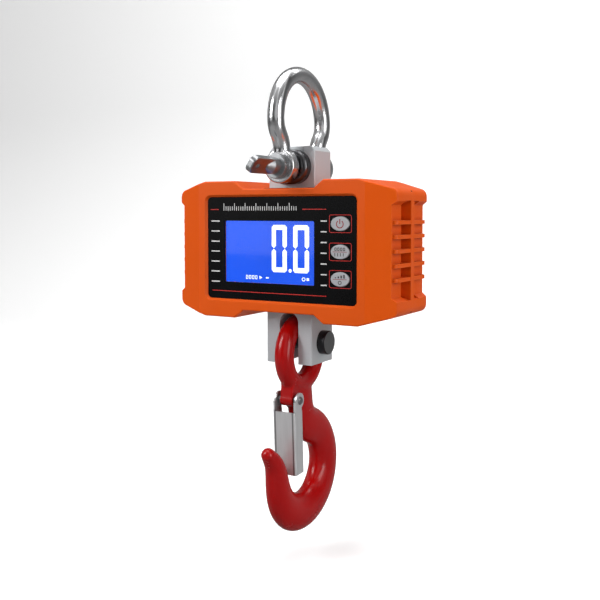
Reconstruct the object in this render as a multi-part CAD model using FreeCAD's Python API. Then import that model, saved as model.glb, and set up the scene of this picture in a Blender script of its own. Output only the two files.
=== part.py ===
import FreeCAD, Part
import math
import os

"""Hanging crane scale: shackle, strain-gauge load cell in a two-part cast housing, eye hook with latch.

Millimetres. Everything is drawn about the centre of the housing, with +X to the right as its display is
read, -Y out of the display and +Z up. save() then lowers each node so that the origin is the point
inside the crown of the shackle that the crane's hook carries.
"""

V = FreeCAD.Vector
X_AXIS = V(1, 0, 0)
Y_AXIS = V(0, 1, 0)
Z_AXIS = V(0, 0, 1)

# Housing: outline seen from the front, then its plan.
HOUSING_HALF_WIDTH = 95.0
HOUSING_HALF_HEIGHT = 53.0
HOUSING_HALF_DEPTH = 34.6
END_DROP = 7.8             # the top and bottom fall by this much at the two ends
SHOULDER_INSET = 28.1      # length of that fall
BEVEL_LENGTH = 22.1        # front and rear faces bevel back over this length
BEVEL_DEPTH = 6.6
TROUGH_DEPTH = 6.1         # troughs across the top and bottom, where the load cell comes out
TROUGH_HALF_FLOOR = 31.0
TROUGH_SLOPE = 8.0
WALL = 3.0
FACE_WALL = 6.0            # front and rear walls, thick enough to take the panel and the cover
EDGE_ROUND = 1.2
END_ROUND = 6.0            # the four corners of the outline at the ends
FIT_GAP = 0.2              # between an inserted piece and its seat
STACK_GAP = 0.1            # between layers of the display and its board
SCREW_CLEARANCE = 0.3
SMALL_ROUND = 0.8

# Grip recesses in the two ends.
GRIP_MIDDLE = 1.0          # the grips sit a little above the middle of the ends
GRIP_HALF_HEIGHT = 33.2
GRIP_END_SLOPE = 3.5
GRIP_DEPTH = 4.0
GRIP_SLOT_DEPTH = 11.0
GRIP_FRONT = 30.5
GRIP_SLOT_FRONT = 12.0
GRIP_BAR_HALF = 3.0
RIB_SINK = 0.2             # the ribs stand this far inside the ends
RIB_COUNT = 5
RIB_PITCH = 10.3
RIB_THICKNESS = 2.8
RIB_HALF_LENGTH = 27.2
RIB_END_ROUND = 4.0

# Front panel.
PANEL_LEFT = -65.0
PANEL_RIGHT = 65.5
PANEL_BOTTOM = -38.4
PANEL_TOP = 40.6
PANEL_CORNER = 3.5
PANEL_THICKNESS = 1.0
PANEL_RECESS = 3.0
PANEL_RIM_SLOPE = 1.6
WINDOW_LEFT = -49.5
WINDOW_RIGHT = 30.7
WINDOW_BOTTOM = -25.3
WINDOW_TOP = 22.3
LENS_MARGIN = 2.0
LENS_THICKNESS = 1.0

# Display stack behind the window.
GLASS_MARGIN = 3.0
GLASS_THICKNESS = 2.8
GLASS_POCKET = 1.0
BACKLIGHT_THICKNESS = 4.4
FRAME_WALL = 2.2

# Push buttons.
BUTTON_X = 52.4
BUTTON_HEIGHTS = {"power_button": 20.6, "hold_button": 0.2, "zero_button": -19.7}
BUTTON_HALF_WIDTH = 7.6
BUTTON_HALF_HEIGHT = 5.2
BUTTON_PROUD = 0.8
BUTTON_ROUND = 0.6
BUTTON_CLEARANCE = 0.3
BUTTON_FLANGE = 1.4
BUTTON_FLANGE_THICKNESS = 1.2
BUTTON_STEM_RADIUS = 1.5
BUTTON_STEM_LENGTH = 2.4

# Circuit board and what is on it.
BOARD_HALF_WIDTH = 64.0
BOARD_HALF_HEIGHT = 35.5
BOARD_THICKNESS = 1.6
POST_X = 60.0
POST_Z = 31.8
POST_RADIUS = 3.4
SWITCH_SIDE = 6.2
SWITCH_BORE = 1.9
SWITCH_BORE_DEPTH = 2.4
SWITCH_OVERLAP = 0.9       # how far a button's stem reaches into its switch
BUZZER_PLACE = (-46.0, -22.0)
CHIPS = ((-2, 24, 10, 10, 1.4), (30, 26, 8, 6, 1.6), (-24, 28, 7, 5, 1.6), (14, 29, 5, 2, 1.2))
GAUGE_SOCKET_X = 29.0
BATTERY_SOCKET_X = -24.0
SOCKET_ROW_Z = 4.0
SOCKET_HALF_WIDTH = 5.0
SOCKET_HALF_HEIGHT = 3.0
GAUGE_CABLE = (1.3, 9.0)   # radius and bend
BATTERY_LEAD = (0.9, 3.5)
BATTERY_LEAD_Y = 6.0
BATTERY_LEAD_HEIGHTS = (2.5, 5.5)
BUZZER_RADIUS = 6.0
BUZZER_HEIGHT = 5.5
SOCKET_HEIGHT = 4.0

# Screws: shank radius, head radius, head height.
SMALL_SCREW = (1.25, 2.4, 1.8)
CASE_SCREW = (2.0, 3.5, 4.0)
CASE_SCREW_INSET = 11.0    # from the ends
CASE_SCREW_DROP = 13.0     # from the top and bottom
CASE_BOSS_RADIUS = 5.5
CASE_SCREW_SINK = 11.6     # how far the heads' seats lie below the rear face
CASE_SCREW_LENGTH = 40.0
CASE_SCREW_KEY = 1.7
CASE_SCREW_KEY_DEPTH = 2.0

# Load cell.
HEAD_HALF_WIDTH = 20.4
HEAD_HALF_DEPTH = 13.0
HEAD_RISE = 15.8           # above the shackle's pin
HEAD_BOTTOM = 28.0
HEAD_CHAMFER = 3.6
FOOT_HALF_WIDTH = 20.0
FOOT_HALF_DEPTH = 17.0
FOOT_TOP = -28.0
FOOT_FALL = 16.0           # below the hook's pin
CELL_EDGE_ROUND = 1.0
NECK_HALF_WIDTH = 15.0
NECK_HALF_DEPTH = 10.0
GAUGE_POCKET_HALF = 9.0
GAUGE_POCKET_HALF_HEIGHT = 14.0
GAUGE_POCKET_DEPTH = 3.5
NECK_WINDOW_RADIUS = 4.0
NECK_WINDOW_Z = 9.0
GAUGE_HALF_WIDTH = 4.5
GAUGE_HALF_HEIGHT = 3.0
GAUGE_THICKNESS = 0.5
SEAL_LIP_WIDTH = 1.2
SEAL_GAP = 1.5
SEAL_LIP = 0.8
GASKET_INSET = 0.9
GASKET_WIDTH = 1.2
GASKET_HALF = 0.75

# Shackle.
PIN_RISE = 16.6            # above the floor of the top trough
PIN_RADIUS = 6.0
PIN_CLEARANCE = 0.06
ROD_RADIUS = 6.45
EAR_WALL = 7.0
EAR_INNER = 22.3
EAR_THICKNESS = 10.0
EAR_ROUND = 1.5
CROWN_RADIUS = 36.1
CROWN_RISE = 35.6          # centre of the crown above the pin
LIMB_BEND = 18.0
COLLAR_RIM = 3.5
COLLAR_THICKNESS = 5.6
COLLAR_GAP = 0.1
PIN_TAIL = 2.5
KNURL_COUNT = 30
KNURL_RADIUS = 0.5
KNURL_SETBACK = 0.6
SHOULDER_RIM = 0.2
SHOULDER_LENGTH = 8.0
TAB_LENGTH = 25.0
TAB_HALF_WIDTH = 6.6
TAB_THICKNESS = 5.0
TAB_TURN = 35.0
TAB_CORNER = 4.5
TAB_HOLE_SETBACK = 7.0
TAB_SLOPE = (3.0, 6.0)      # radius and length of the cone that runs into the tab
TAB_HOLE_RADIUS = 1.75
BUSH_SLEEVE_WALL = 2.5
BUSH_SLEEVE_LENGTH = 9.0
BUSH_RIM = 7.1
BUSH_SPREAD = 4.2
BUSH_FACE = 21.0
BUSH_SEAT = 1.5
BUSH_ROUND = 3.0
FLAT_MARGIN = 1.0          # the bow's flats end this far beyond the flanges as they pass
KEYWAY_HALF_WIDTH = 11.0
KEYWAY_DEPTH = 0.8

# Hook and its pin.
HOOK_PIN_FALL = 25.1       # below the floor of the bottom trough
HOOK_PIN_RADIUS = 6.5
HOOK_PIN_RIM = 2.7
HOOK_PIN_HEAD = 6.5
HOOK_PIN_TAIL = 4.0
CLIP_THICKNESS = 1.2
CLIP_RIM = 2.1
CLIP_GROOVE = 0.9
CLIP_MOUTH = 2.5
SLOT_GAP = 0.8             # each side of the hook's eye
SLOT_HEADROOM = 2.1        # above it
EYE_INNER_RADIUS = 16.5
EYE_ROD_RADIUS = 7.5
EYE_GAP = 0.2
BOWL_FRONT_RADIUS = 35.8
BOWL_BACK_RADIUS = 36.8
BOWL_FOOT_RADIUS = 34.3
BOWL_Y = 1.2
BOWL_FALL = 91.9           # below the centre of the eye
# Middle line of the neck and the tip: y, fall below the eye's centre, half thickness in the hook's plane,
# half thickness across.
HOOK_NECK = ((-1.0, 19.2, 15.0, 5.4), (-1.0, 28.2, 15.4, 6.9), (0.0, 36.2, 15.4, 7.3),
             (1.8, 45.2, 14.6, 7.7), (8.6, 56.4, 14.6, 8.7))
HOOK_TIP = ((-37.8, 82.2, 8.6, 7.4), (-42.6, 75.2, 6.9, 6.5), (-47.4, 70.4, 5.5, 5.3))
# The bowl between them: angle round its centre, then the same two half thicknesses.
HOOK_BOWL = ((52, 14.5, 9.5), (28, 14.5, 10.2), (0, 14.5, 10.4), (-30, 14.8, 10.6), (-60, 15.0, 10.6),
             (-90, 15.0, 10.4), (-118, 14.6, 10.0), (-146, 13.0, 9.2), (-172, 11.0, 8.4))

# Latch.
LATCH_Y = -17.0
LATCH_FALL = 34.2          # below the centre of the eye
LATCH_PIN_RADIUS = 2.0
LATCH_PIN_HEAD = 1.2
LATCH_PIN_HEAD_RADII = (3.2, 2.2)
LATCH_PIN_GAP = 0.15
LATCH_FOLD_ROUND = 1.5
LATCH_HALF_WIDTH = 9.8
LATCH_SHEET = 1.5
LATCH_EAR_RADIUS = 6.0
LATCH_LENGTH = 57.0
LATCH_WEB_DROP = 8.0
LATCH_FRONT = 8.7
LATCH_BACK = 2.8
LATCH_TILT = 3.0
LATCH_OPEN = 25.0           # how far the latch opens, in degrees
LATCH_RELIEF = 0.4
BOSS_HALF_WIDTH = 5.6
BOSS_RADIUS = 5.0
BOSS_SHOULDER = 0.1
EAR_ROOM = 0.6
SPRING_WIRE = 0.45
SPRING_COIL = 3.2
SPRING_TAIL = 4.6
SPRING_GAP = 0.2
SPRING_CLOSENESS = 0.95    # the turns just merge

# Battery and charging.
CELL_RADIUS = 9.2
CELL_HALF_LENGTH = 32.5
CELL_GAP = 0.6
HOLDER_WALL = 1.5
HOLDER_GAP = 0.3
HOLDER_SETBACK = 2.0
CONTACT_SPACE = 4.0
CONTACT_HALF = 5.0
CONTACT_SHEET = 0.5
CONTACT_CONE = (4.5, 2.5)
COVER_SIDE = 2.6           # cover beyond the opening
COVER_END = 6.8
COVER_THICKNESS = 2.0
COVER_CORNER = 4.0
OPENING_GAP = 0.7
COVER_SCREW_X = 8.0
COVER_SCREW_SETBACK = 3.4
COVER_SCREW_SEAT = 1.2
COVER_SCREW_LENGTH = 4.4
COVER_SEAL_SETBACK = 0.8
COVER_SEAL_WIDTH = 1.0
SOCKET_X = 52.0
SOCKET_Z = -24.0
SOCKET_RADIUS = 4.0
SOCKET_FLANGE = 5.6
SOCKET_BORE = 2.75
SOCKET_PIN = 1.0
SOCKET_LENGTH = 14.0
SOCKET_BORE_DEPTH = 9.0
SOCKET_FLANGE_THICKNESS = 1.2
NUT_RADIUS = 6.6
NUT_THICKNESS = 2.5
BRACKET_SCREW_X = 25.0
BRACKET_HEIGHT = -36.0
BRACKET_HALF_HEIGHT = 5.5
BRACKET_THICKNESS = 2.5
BRACKET_POST_RADIUS = 3.6
BRACKET_EDGE = 4.3
BRACKET_SPACE = 0.2        # between the bracket and the battery holder
CELL_SCREW_X = 11.0
BRACKET_SCREW_LENGTH = 8.0

# Worked out from the sizes above.
PANEL_FLOOR = -HOUSING_HALF_DEPTH + PANEL_RECESS
PANEL_FACE = PANEL_FLOOR - PANEL_THICKNESS
INNER_FACE = HOUSING_HALF_DEPTH - FACE_WALL
GLASS_FACE = -INNER_FACE - GLASS_POCKET + STACK_GAP
BACKLIGHT_FACE = GLASS_FACE + GLASS_THICKNESS
BOARD_FACE = BACKLIGHT_FACE + BACKLIGHT_THICKNESS + STACK_GAP
BOARD_BACK = BOARD_FACE + BOARD_THICKNESS
TROUGH_FLOOR = HOUSING_HALF_HEIGHT - TROUGH_DEPTH
CASE_SCREW_X = HOUSING_HALF_WIDTH - CASE_SCREW_INSET
CASE_SCREW_Z = HOUSING_HALF_HEIGHT - CASE_SCREW_DROP
CASE_SCREW_HEAD_Y = HOUSING_HALF_DEPTH - CASE_SCREW_SINK

PIN_HEIGHT = TROUGH_FLOOR + PIN_RISE
HEAD_TOP = PIN_HEIGHT + HEAD_RISE
EAR_RADIUS = PIN_RADIUS + EAR_WALL
COLLAR_RADIUS = PIN_RADIUS + COLLAR_RIM
SHOULDER_RADIUS = PIN_RADIUS + SHOULDER_RIM
BUSH_SLEEVE_RADIUS = PIN_RADIUS + BUSH_SLEEVE_WALL
BUSH_RADIUS = PIN_RADIUS + BUSH_RIM
CROWN_CENTRE = PIN_HEIGHT + CROWN_RISE
CROWN_HEIGHT = CROWN_CENTRE + CROWN_RADIUS - ROD_RADIUS
PIN_SEAT = EAR_INNER + EAR_THICKNESS
EAR_MIDDLE = EAR_INNER + EAR_THICKNESS / 2

HOOK_PIN_HEIGHT = -TROUGH_FLOOR - HOOK_PIN_FALL
HOOK_PIN_HEAD_RADIUS = HOOK_PIN_RADIUS + HOOK_PIN_RIM
CLIP_RADIUS = HOOK_PIN_RADIUS + CLIP_RIM
FOOT_BOTTOM = HOOK_PIN_HEIGHT - FOOT_FALL
EYE_RADIUS = EYE_INNER_RADIUS + EYE_ROD_RADIUS
EYE_HEIGHT = HOOK_PIN_HEIGHT + HOOK_PIN_RADIUS + EYE_GAP - EYE_INNER_RADIUS
SLOT_HALF_WIDTH = EYE_ROD_RADIUS + SLOT_GAP
SLOT_TOP = EYE_HEIGHT + EYE_RADIUS + EYE_ROD_RADIUS + SLOT_HEADROOM
BOWL_HEIGHT = EYE_HEIGHT - BOWL_FALL
LATCH_HEIGHT = EYE_HEIGHT - LATCH_FALL

CELL_SPACING = 2 * CELL_RADIUS + CELL_GAP
HOLDER_HALF_WIDTH = CELL_SPACING / 2 + CELL_RADIUS + HOLDER_GAP + HOLDER_WALL
BATTERY_X = -BRACKET_SCREW_X - BRACKET_EDGE - BRACKET_SPACE - HOLDER_HALF_WIDTH
OPENING_HALF_WIDTH = CELL_SPACING / 2 + CELL_RADIUS + OPENING_GAP
OPENING_HALF_HEIGHT = CELL_HALF_LENGTH + CONTACT_SPACE + OPENING_GAP
COVER_HALF_WIDTH = OPENING_HALF_WIDTH + COVER_SIDE
COVER_HALF_HEIGHT = OPENING_HALF_HEIGHT + COVER_END
COVER_SCREW_Z = OPENING_HALF_HEIGHT + COVER_SCREW_SETBACK


def save(name, shape):
    """Write one node, lowered so that the inside of the shackle's crown is the origin."""
    shape.translate(V(0, 0, -CROWN_HEIGHT))
    shape.exportStep("parts/" + name + ".step")


def box(x0, x1, y0, y1, z0, z1):
    return Part.makeBox(x1 - x0, y1 - y0, z1 - z0, V(x0, y0, z0))


def rod(radius, start, direction, length):
    return Part.makeCylinder(radius, length, start, direction)


def group(shapes):
    return Part.makeCompound(shapes)


def joined(shapes):
    return shapes[0].multiFuse(shapes[1:]).removeSplitter()


def both_ends(shape):
    """The shape and its mirror image across the X = 0 plane."""
    return [shape, shape.mirror(V(0, 0, 0), X_AXIS)]


def outline(points, radius=0.0):
    """Face bounded by straight sides, with every corner rounded to the radius."""
    corners = [V(x, y, 0) for x, y in points]
    if radius <= 0:
        return Part.Face(Part.makePolygon(corners + corners[:1]))
    edges = []
    ends = []
    for before, corner, after in zip(corners[-1:] + corners[:-1], corners, corners[1:] + corners[:1]):
        back = (before - corner).normalize()
        ahead = (after - corner).normalize()
        half = back.getAngle(ahead) / 2
        reach = radius / math.tan(half)
        inward = (back + ahead).normalize()
        middle = corner + inward * (radius / math.sin(half) - radius)
        ends.append((corner + back * reach, middle, corner + ahead * reach))
    for this, following in zip(ends, ends[1:] + ends[:1]):
        edges.append(Part.Arc(*this).toShape())
        edges.append(Part.makeLine(this[2], following[0]))
    return Part.Face(Part.Wire(edges))


def rectangle(x0, x1, y0, y1, radius=0.0):
    return outline([(x0, y0), (x1, y0), (x1, y1), (x0, y1)], radius)


def oval(half_width, half_height):
    curve = Part.Ellipse(V(0, 0, 0), half_width, half_height)
    return Part.Face(Part.Wire([curve.toShape()]))


def hexagon(radius):
    turns = [math.radians(60 * i) for i in range(6)]
    return outline([(radius * math.cos(turn), radius * math.sin(turn)) for turn in turns])


def upright(face, y0, y1, at=(0, 0)):
    """Stand a face drawn in XY up in XZ, and give it the thickness from y0 to y1."""
    solid = face.extrude(V(0, 0, y1 - y0))
    solid.rotate(V(0, 0, 0), X_AXIS, 90)
    solid.translate(V(at[0], y1, at[1]))
    return solid


def flat(face, z0, z1):
    solid = face.extrude(V(0, 0, z1 - z0))
    solid.translate(V(0, 0, z0))
    return solid


def quadrants(points):
    """Close an outline from its upper right quarter, listed from the Y axis round to the X axis."""
    right = points + [(x, -y) for x, y in reversed(points)]
    left = [(-x, y) for x, y in reversed(right)]
    return right + left


def rounded(shape, radius, wanted):
    edges = [e for e in shape.Edges if wanted(e)]
    return shape.makeFillet(radius, edges)


def front_outline():
    shoulder = HOUSING_HALF_WIDTH - SHOULDER_INSET
    points = [(TROUGH_HALF_FLOOR, TROUGH_FLOOR),
              (TROUGH_HALF_FLOOR + TROUGH_SLOPE, HOUSING_HALF_HEIGHT),
              (shoulder, HOUSING_HALF_HEIGHT),
              (HOUSING_HALF_WIDTH, HOUSING_HALF_HEIGHT - END_DROP)]
    return outline(quadrants(points))


def plan_outline():
    points = [(HOUSING_HALF_WIDTH - BEVEL_LENGTH, HOUSING_HALF_DEPTH),
              (HOUSING_HALF_WIDTH, HOUSING_HALF_DEPTH - BEVEL_DEPTH)]
    return outline(quadrants(points))


def housing_block(inset=0.0):
    """The housing's outer form, or the same form drawn in by a wall."""
    front = front_outline()
    plan = plan_outline()
    if inset:
        front = front.makeOffset2D(-inset)
        plan = plan.makeOffset2D(-inset)
    deep = upright(front, -HOUSING_HALF_DEPTH, HOUSING_HALF_DEPTH)
    end = HOUSING_HALF_WIDTH - inset
    deep = rounded(deep, END_ROUND - inset, lambda e: len(e.Vertexes) == 2 and e.BoundBox.YLength > 1
                   and all(abs(abs(v.X) - end) < 0.01 for v in e.Vertexes))
    tall = flat(plan, -HOUSING_HALF_HEIGHT, HOUSING_HALF_HEIGHT)
    return deep.common(tall)


def on_outer_face(edge):
    """An edge that bounds the front, rear, left or right face of the housing."""
    points = [v.Point for v in edge.Vertexes]
    front = all(abs(abs(p.y) - HOUSING_HALF_DEPTH) < 0.01 for p in points)
    side = all(abs(abs(p.x) - HOUSING_HALF_WIDTH) < 0.01 for p in points)
    same = abs(points[0].y - points[-1].y) < 0.01 or abs(points[0].x - points[-1].x) < 0.01
    along_y = edge.BoundBox.YLength > edge.BoundBox.ZLength + edge.BoundBox.XLength
    return (front or side) and same and not along_y


def grip_recess(grow=0.0):
    """Hollow on the right end: two shallow floors, and a deep slot each side of the seam bar."""
    face = HOUSING_HALF_WIDTH
    outer = GRIP_HALF_HEIGHT + GRIP_END_SLOPE + grow
    inner = GRIP_HALF_HEIGHT + grow
    parts = []
    for depth, near, far in ((GRIP_DEPTH, GRIP_SLOT_FRONT - 1, GRIP_FRONT),
                             (GRIP_SLOT_DEPTH, GRIP_BAR_HALF, GRIP_SLOT_FRONT)):
        floor = face - depth - grow
        section = outline([(floor, GRIP_MIDDLE - inner), (face + 1, GRIP_MIDDLE - outer),
                           (face + 1, GRIP_MIDDLE + outer), (floor, GRIP_MIDDLE + inner)])
        parts.append(upright(section, -far - grow, -near + grow))
        parts.append(upright(section, near - grow, far + grow))
    return joined(parts)


def grip_ribs():
    """Rounded bars across the right end's recess."""
    floor = HOUSING_HALF_WIDTH - GRIP_SLOT_DEPTH - WALL / 2
    plan = rectangle(floor, HOUSING_HALF_WIDTH - RIB_SINK, -RIB_HALF_LENGTH, RIB_HALF_LENGTH, RIB_END_ROUND)
    ribs = []
    for i in range(RIB_COUNT):
        middle = GRIP_MIDDLE + (i - (RIB_COUNT - 1) / 2) * RIB_PITCH
        ribs.append(flat(plan, middle - RIB_THICKNESS / 2, middle + RIB_THICKNESS / 2))
    return ribs


def case_bosses(y0, y1):
    bosses = []
    for x in (-CASE_SCREW_X, CASE_SCREW_X):
        for z in (-CASE_SCREW_Z, CASE_SCREW_Z):
            bosses.append(rod(CASE_BOSS_RADIUS, V(x, y0, z), Y_AXIS, y1 - y0))
    return bosses


def case_screws(clearance=0.0, head_room=0.0):
    """Four long screws from the rear; with head_room they are the holes and counterbores."""
    shank, head, height = CASE_SCREW
    screws = []
    for x in (-CASE_SCREW_X, CASE_SCREW_X):
        for z in (-CASE_SCREW_Z, CASE_SCREW_Z):
            top = V(x, CASE_SCREW_HEAD_Y, z)
            stem = rod(shank, top, -Y_AXIS, CASE_SCREW_LENGTH)
            cap = rod(head + clearance, top, Y_AXIS, height + head_room)
            if not head_room:
                mouth = CASE_SCREW_HEAD_Y + height
                key = upright(hexagon(CASE_SCREW_KEY), mouth - CASE_SCREW_KEY_DEPTH, mouth + 1, (x, z))
                cap = cap.cut(key)
            screws.append(stem.fuse(cap).removeSplitter())
    return screws


def cell_opening():
    """Room for the load cell and its two seals through the floors of the troughs."""
    top = box(-HEAD_HALF_WIDTH - SEAL_GAP, HEAD_HALF_WIDTH + SEAL_GAP,
              -HEAD_HALF_DEPTH - SEAL_GAP, HEAD_HALF_DEPTH + SEAL_GAP, 0, HOUSING_HALF_HEIGHT)
    bottom = box(-FOOT_HALF_WIDTH - SEAL_GAP, FOOT_HALF_WIDTH + SEAL_GAP,
                 -FOOT_HALF_DEPTH - SEAL_GAP, FOOT_HALF_DEPTH + SEAL_GAP, -HOUSING_HALF_HEIGHT, 0)
    return top, bottom


def gasket():
    """Cord along the seam, broken where the load cell comes out."""
    outer = front_outline().makeOffset2D(-GASKET_INSET)
    inner = front_outline().makeOffset2D(-GASKET_INSET - GASKET_WIDTH)
    ring = upright(outer.cut(inner), -GASKET_HALF, GASKET_HALF)
    for opening in cell_opening():
        ring = ring.cut(opening)
    return ring


def hollow_case():
    """Both shells as one hollow form, with grips, bosses and openings."""
    body = rounded(housing_block(), EDGE_ROUND, on_outer_face)
    cavity = housing_block(WALL)
    cavity = cavity.common(box(-HOUSING_HALF_WIDTH, HOUSING_HALF_WIDTH, -INNER_FACE, INNER_FACE,
                               -HOUSING_HALF_HEIGHT, HOUSING_HALF_HEIGHT))
    for recess in both_ends(grip_recess(WALL)):
        cavity = cavity.cut(recess)
    shell = body.cut(cavity)
    for recess in both_ends(grip_recess()):
        shell = shell.cut(recess)
    ribs = []
    for rib in grip_ribs():
        ribs += both_ends(rib.common(body))
    bosses = [boss.common(body) for boss in case_bosses(-HOUSING_HALF_DEPTH, HOUSING_HALF_DEPTH)]
    shell = joined([shell] + ribs + bosses)
    for hole in case_screws(SCREW_CLEARANCE, HOUSING_HALF_DEPTH) + list(cell_opening()) + [gasket()]:
        shell = shell.cut(hole)
    return shell


def window(margin, y0, y1, radius=1.0):
    face = rectangle(WINDOW_LEFT - margin, WINDOW_RIGHT + margin,
                     WINDOW_BOTTOM - margin, WINDOW_TOP + margin, radius)
    return upright(face, y0, y1)


def panel_pocket():
    """Recess for the panel, with sides that slope outwards to the housing's face."""
    pocket = upright(rectangle(PANEL_LEFT - FIT_GAP, PANEL_RIGHT + FIT_GAP, PANEL_BOTTOM - FIT_GAP,
                               PANEL_TOP + FIT_GAP, PANEL_CORNER), -HOUSING_HALF_DEPTH - 1, PANEL_FLOOR)
    rims = []
    for y, grow in ((PANEL_FACE, FIT_GAP), (-HOUSING_HALF_DEPTH - 0.01, FIT_GAP + PANEL_RIM_SLOPE)):
        wire = rectangle(PANEL_LEFT - grow, PANEL_RIGHT + grow, PANEL_BOTTOM - grow,
                         PANEL_TOP + grow, PANEL_CORNER + grow).OuterWire
        wire.rotate(V(0, 0, 0), X_AXIS, 90)
        wire.translate(V(0, y, 0))
        rims.append(wire)
    return pocket.fuse(Part.makeLoft(rims, True, True))


def button_holes(y0, y1):
    face = oval(BUTTON_HALF_WIDTH + BUTTON_CLEARANCE, BUTTON_HALF_HEIGHT + BUTTON_CLEARANCE)
    return [upright(face, y0, y1, (BUTTON_X, z)) for z in BUTTON_HEIGHTS.values()]


def board_posts(radius, y0, y1):
    posts = []
    for x in (-POST_X, POST_X):
        for z in (-POST_Z, POST_Z):
            posts.append(rod(radius, V(x, y0, z), Y_AXIS, y1 - y0))
    return posts


def front_housing(case):
    half = case.common(box(-HOUSING_HALF_WIDTH, HOUSING_HALF_WIDTH, -HOUSING_HALF_DEPTH, 0,
                           -HOUSING_HALF_HEIGHT, HOUSING_HALF_HEIGHT))
    half = joined([half] + board_posts(POST_RADIUS, -INNER_FACE - 0.5, BOARD_FACE))
    cuts = [panel_pocket(), window(0, -HOUSING_HALF_DEPTH, 0),
            window(LENS_MARGIN + FIT_GAP, PANEL_FLOOR, PANEL_FLOOR + LENS_THICKNESS),
            window(GLASS_MARGIN + FRAME_WALL + 2 * FIT_GAP, -INNER_FACE - GLASS_POCKET, -INNER_FACE)]
    cuts += button_holes(-HOUSING_HALF_DEPTH, 0)
    cuts += board_posts(SMALL_SCREW[0], BOARD_FACE - 6, BOARD_FACE + 1)
    return half.cut(cuts)


def cover_screw_places():
    return [(BATTERY_X + x, z) for x in (-COVER_SCREW_X, COVER_SCREW_X)
            for z in (-COVER_SCREW_Z, COVER_SCREW_Z)]


def rear_housing(case):
    half = case.common(box(-HOUSING_HALF_WIDTH, HOUSING_HALF_WIDTH, 0, HOUSING_HALF_DEPTH,
                           -HOUSING_HALF_HEIGHT, HOUSING_HALF_HEIGHT))
    plate = FOOT_HALF_DEPTH + BRACKET_THICKNESS
    posts = [rod(BRACKET_POST_RADIUS, V(x, plate, BRACKET_HEIGHT), Y_AXIS, HOUSING_HALF_DEPTH - plate - 2)
             for x in (-BRACKET_SCREW_X, BRACKET_SCREW_X)]
    half = joined([half] + posts)
    seat = rectangle(-COVER_HALF_WIDTH - FIT_GAP, COVER_HALF_WIDTH + FIT_GAP,
                     -COVER_HALF_HEIGHT - FIT_GAP, COVER_HALF_HEIGHT + FIT_GAP, COVER_CORNER)
    opening = rectangle(-OPENING_HALF_WIDTH, OPENING_HALF_WIDTH, -OPENING_HALF_HEIGHT, OPENING_HALF_HEIGHT, 2)
    ledge = HOUSING_HALF_DEPTH - COVER_THICKNESS
    cuts = [upright(seat, ledge, HOUSING_HALF_DEPTH + 1, (BATTERY_X, 0)),
            upright(opening, 0, HOUSING_HALF_DEPTH, (BATTERY_X, 0)),
            cover_seal(),
            rod(SOCKET_RADIUS, V(SOCKET_X, 0, SOCKET_Z), Y_AXIS, HOUSING_HALF_DEPTH + 1)]
    cuts += [rod(SMALL_SCREW[0], V(x, ledge + 1, z), -Y_AXIS, 5) for x, z in cover_screw_places()]
    cuts += [rod(SMALL_SCREW[0], V(x, plate - 1, BRACKET_HEIGHT), Y_AXIS, 9)
             for x in (-BRACKET_SCREW_X, BRACKET_SCREW_X)]
    return half.cut(cuts)


def panel_overlay():
    sheet = upright(rectangle(PANEL_LEFT, PANEL_RIGHT, PANEL_BOTTOM, PANEL_TOP, PANEL_CORNER),
                    PANEL_FACE, PANEL_FLOOR)
    return sheet.cut([window(0, PANEL_FACE - 1, PANEL_FLOOR + 1)]
                     + button_holes(PANEL_FACE - 1, PANEL_FLOOR + 1))


def display_frame():
    """Moulded frame round the glass and the backlight."""
    return window(GLASS_MARGIN + FRAME_WALL, GLASS_FACE, BOARD_FACE).cut(
        window(GLASS_MARGIN + FIT_GAP, GLASS_FACE, BOARD_FACE))


def button(height):
    """Oval cap with a domed rim, a flange that stops it from behind, and the stem into its switch."""
    front = PANEL_FACE - BUTTON_PROUD
    back = -INNER_FACE + STACK_GAP
    cap = upright(oval(BUTTON_HALF_WIDTH, BUTTON_HALF_HEIGHT), front, back)
    cap = rounded(cap, BUTTON_ROUND, lambda e: abs(e.BoundBox.YMax - front) < 0.01)
    flange = upright(oval(BUTTON_HALF_WIDTH + BUTTON_FLANGE, BUTTON_HALF_HEIGHT + BUTTON_FLANGE),
                     back, back + BUTTON_FLANGE_THICKNESS)
    stem = rod(BUTTON_STEM_RADIUS, V(0, back, 0), Y_AXIS, BUTTON_FLANGE_THICKNESS + BUTTON_STEM_LENGTH)
    solid = joined([cap, flange, stem])
    solid.translate(V(BUTTON_X, 0, height))
    return solid


def key_switch(height):
    stem_end = -INNER_FACE + STACK_GAP + BUTTON_FLANGE_THICKNESS + BUTTON_STEM_LENGTH
    mouth = stem_end - SWITCH_OVERLAP
    half = SWITCH_SIDE / 2
    body = box(BUTTON_X - half, BUTTON_X + half, mouth, BOARD_FACE, height - half, height + half)
    return body.cut(rod(SWITCH_BORE, V(BUTTON_X, mouth, height), Y_AXIS, SWITCH_BORE_DEPTH))


def main_board():
    sheet = upright(rectangle(-BOARD_HALF_WIDTH, BOARD_HALF_WIDTH, -BOARD_HALF_HEIGHT,
                              BOARD_HALF_HEIGHT, 2), BOARD_FACE, BOARD_BACK)
    return sheet.cut(board_posts(SMALL_SCREW[0], BOARD_FACE - 1, BOARD_BACK + 1))


def small_screw(x, y, z, direction, length, key=True):
    """Pan-head screw with its seat at y; direction is the way that it is driven."""
    shank, head, height = SMALL_SCREW
    stem = rod(shank, V(x, y, z), direction, length)
    cap = rod(head, V(x, y, z), -direction, height)
    if key:
        for angle in (0, 90):
            blade = Part.makeBox(0.6, 1.2, 3.0, V(-0.3, -0.2, -1.5))
            blade.rotate(V(0, 0, 0), Y_AXIS, angle)
            blade.translate(V(x, y - direction.y * height - 0.4, z))
            cap = cap.cut(blade)
    return stem.fuse(cap).removeSplitter()


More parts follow.
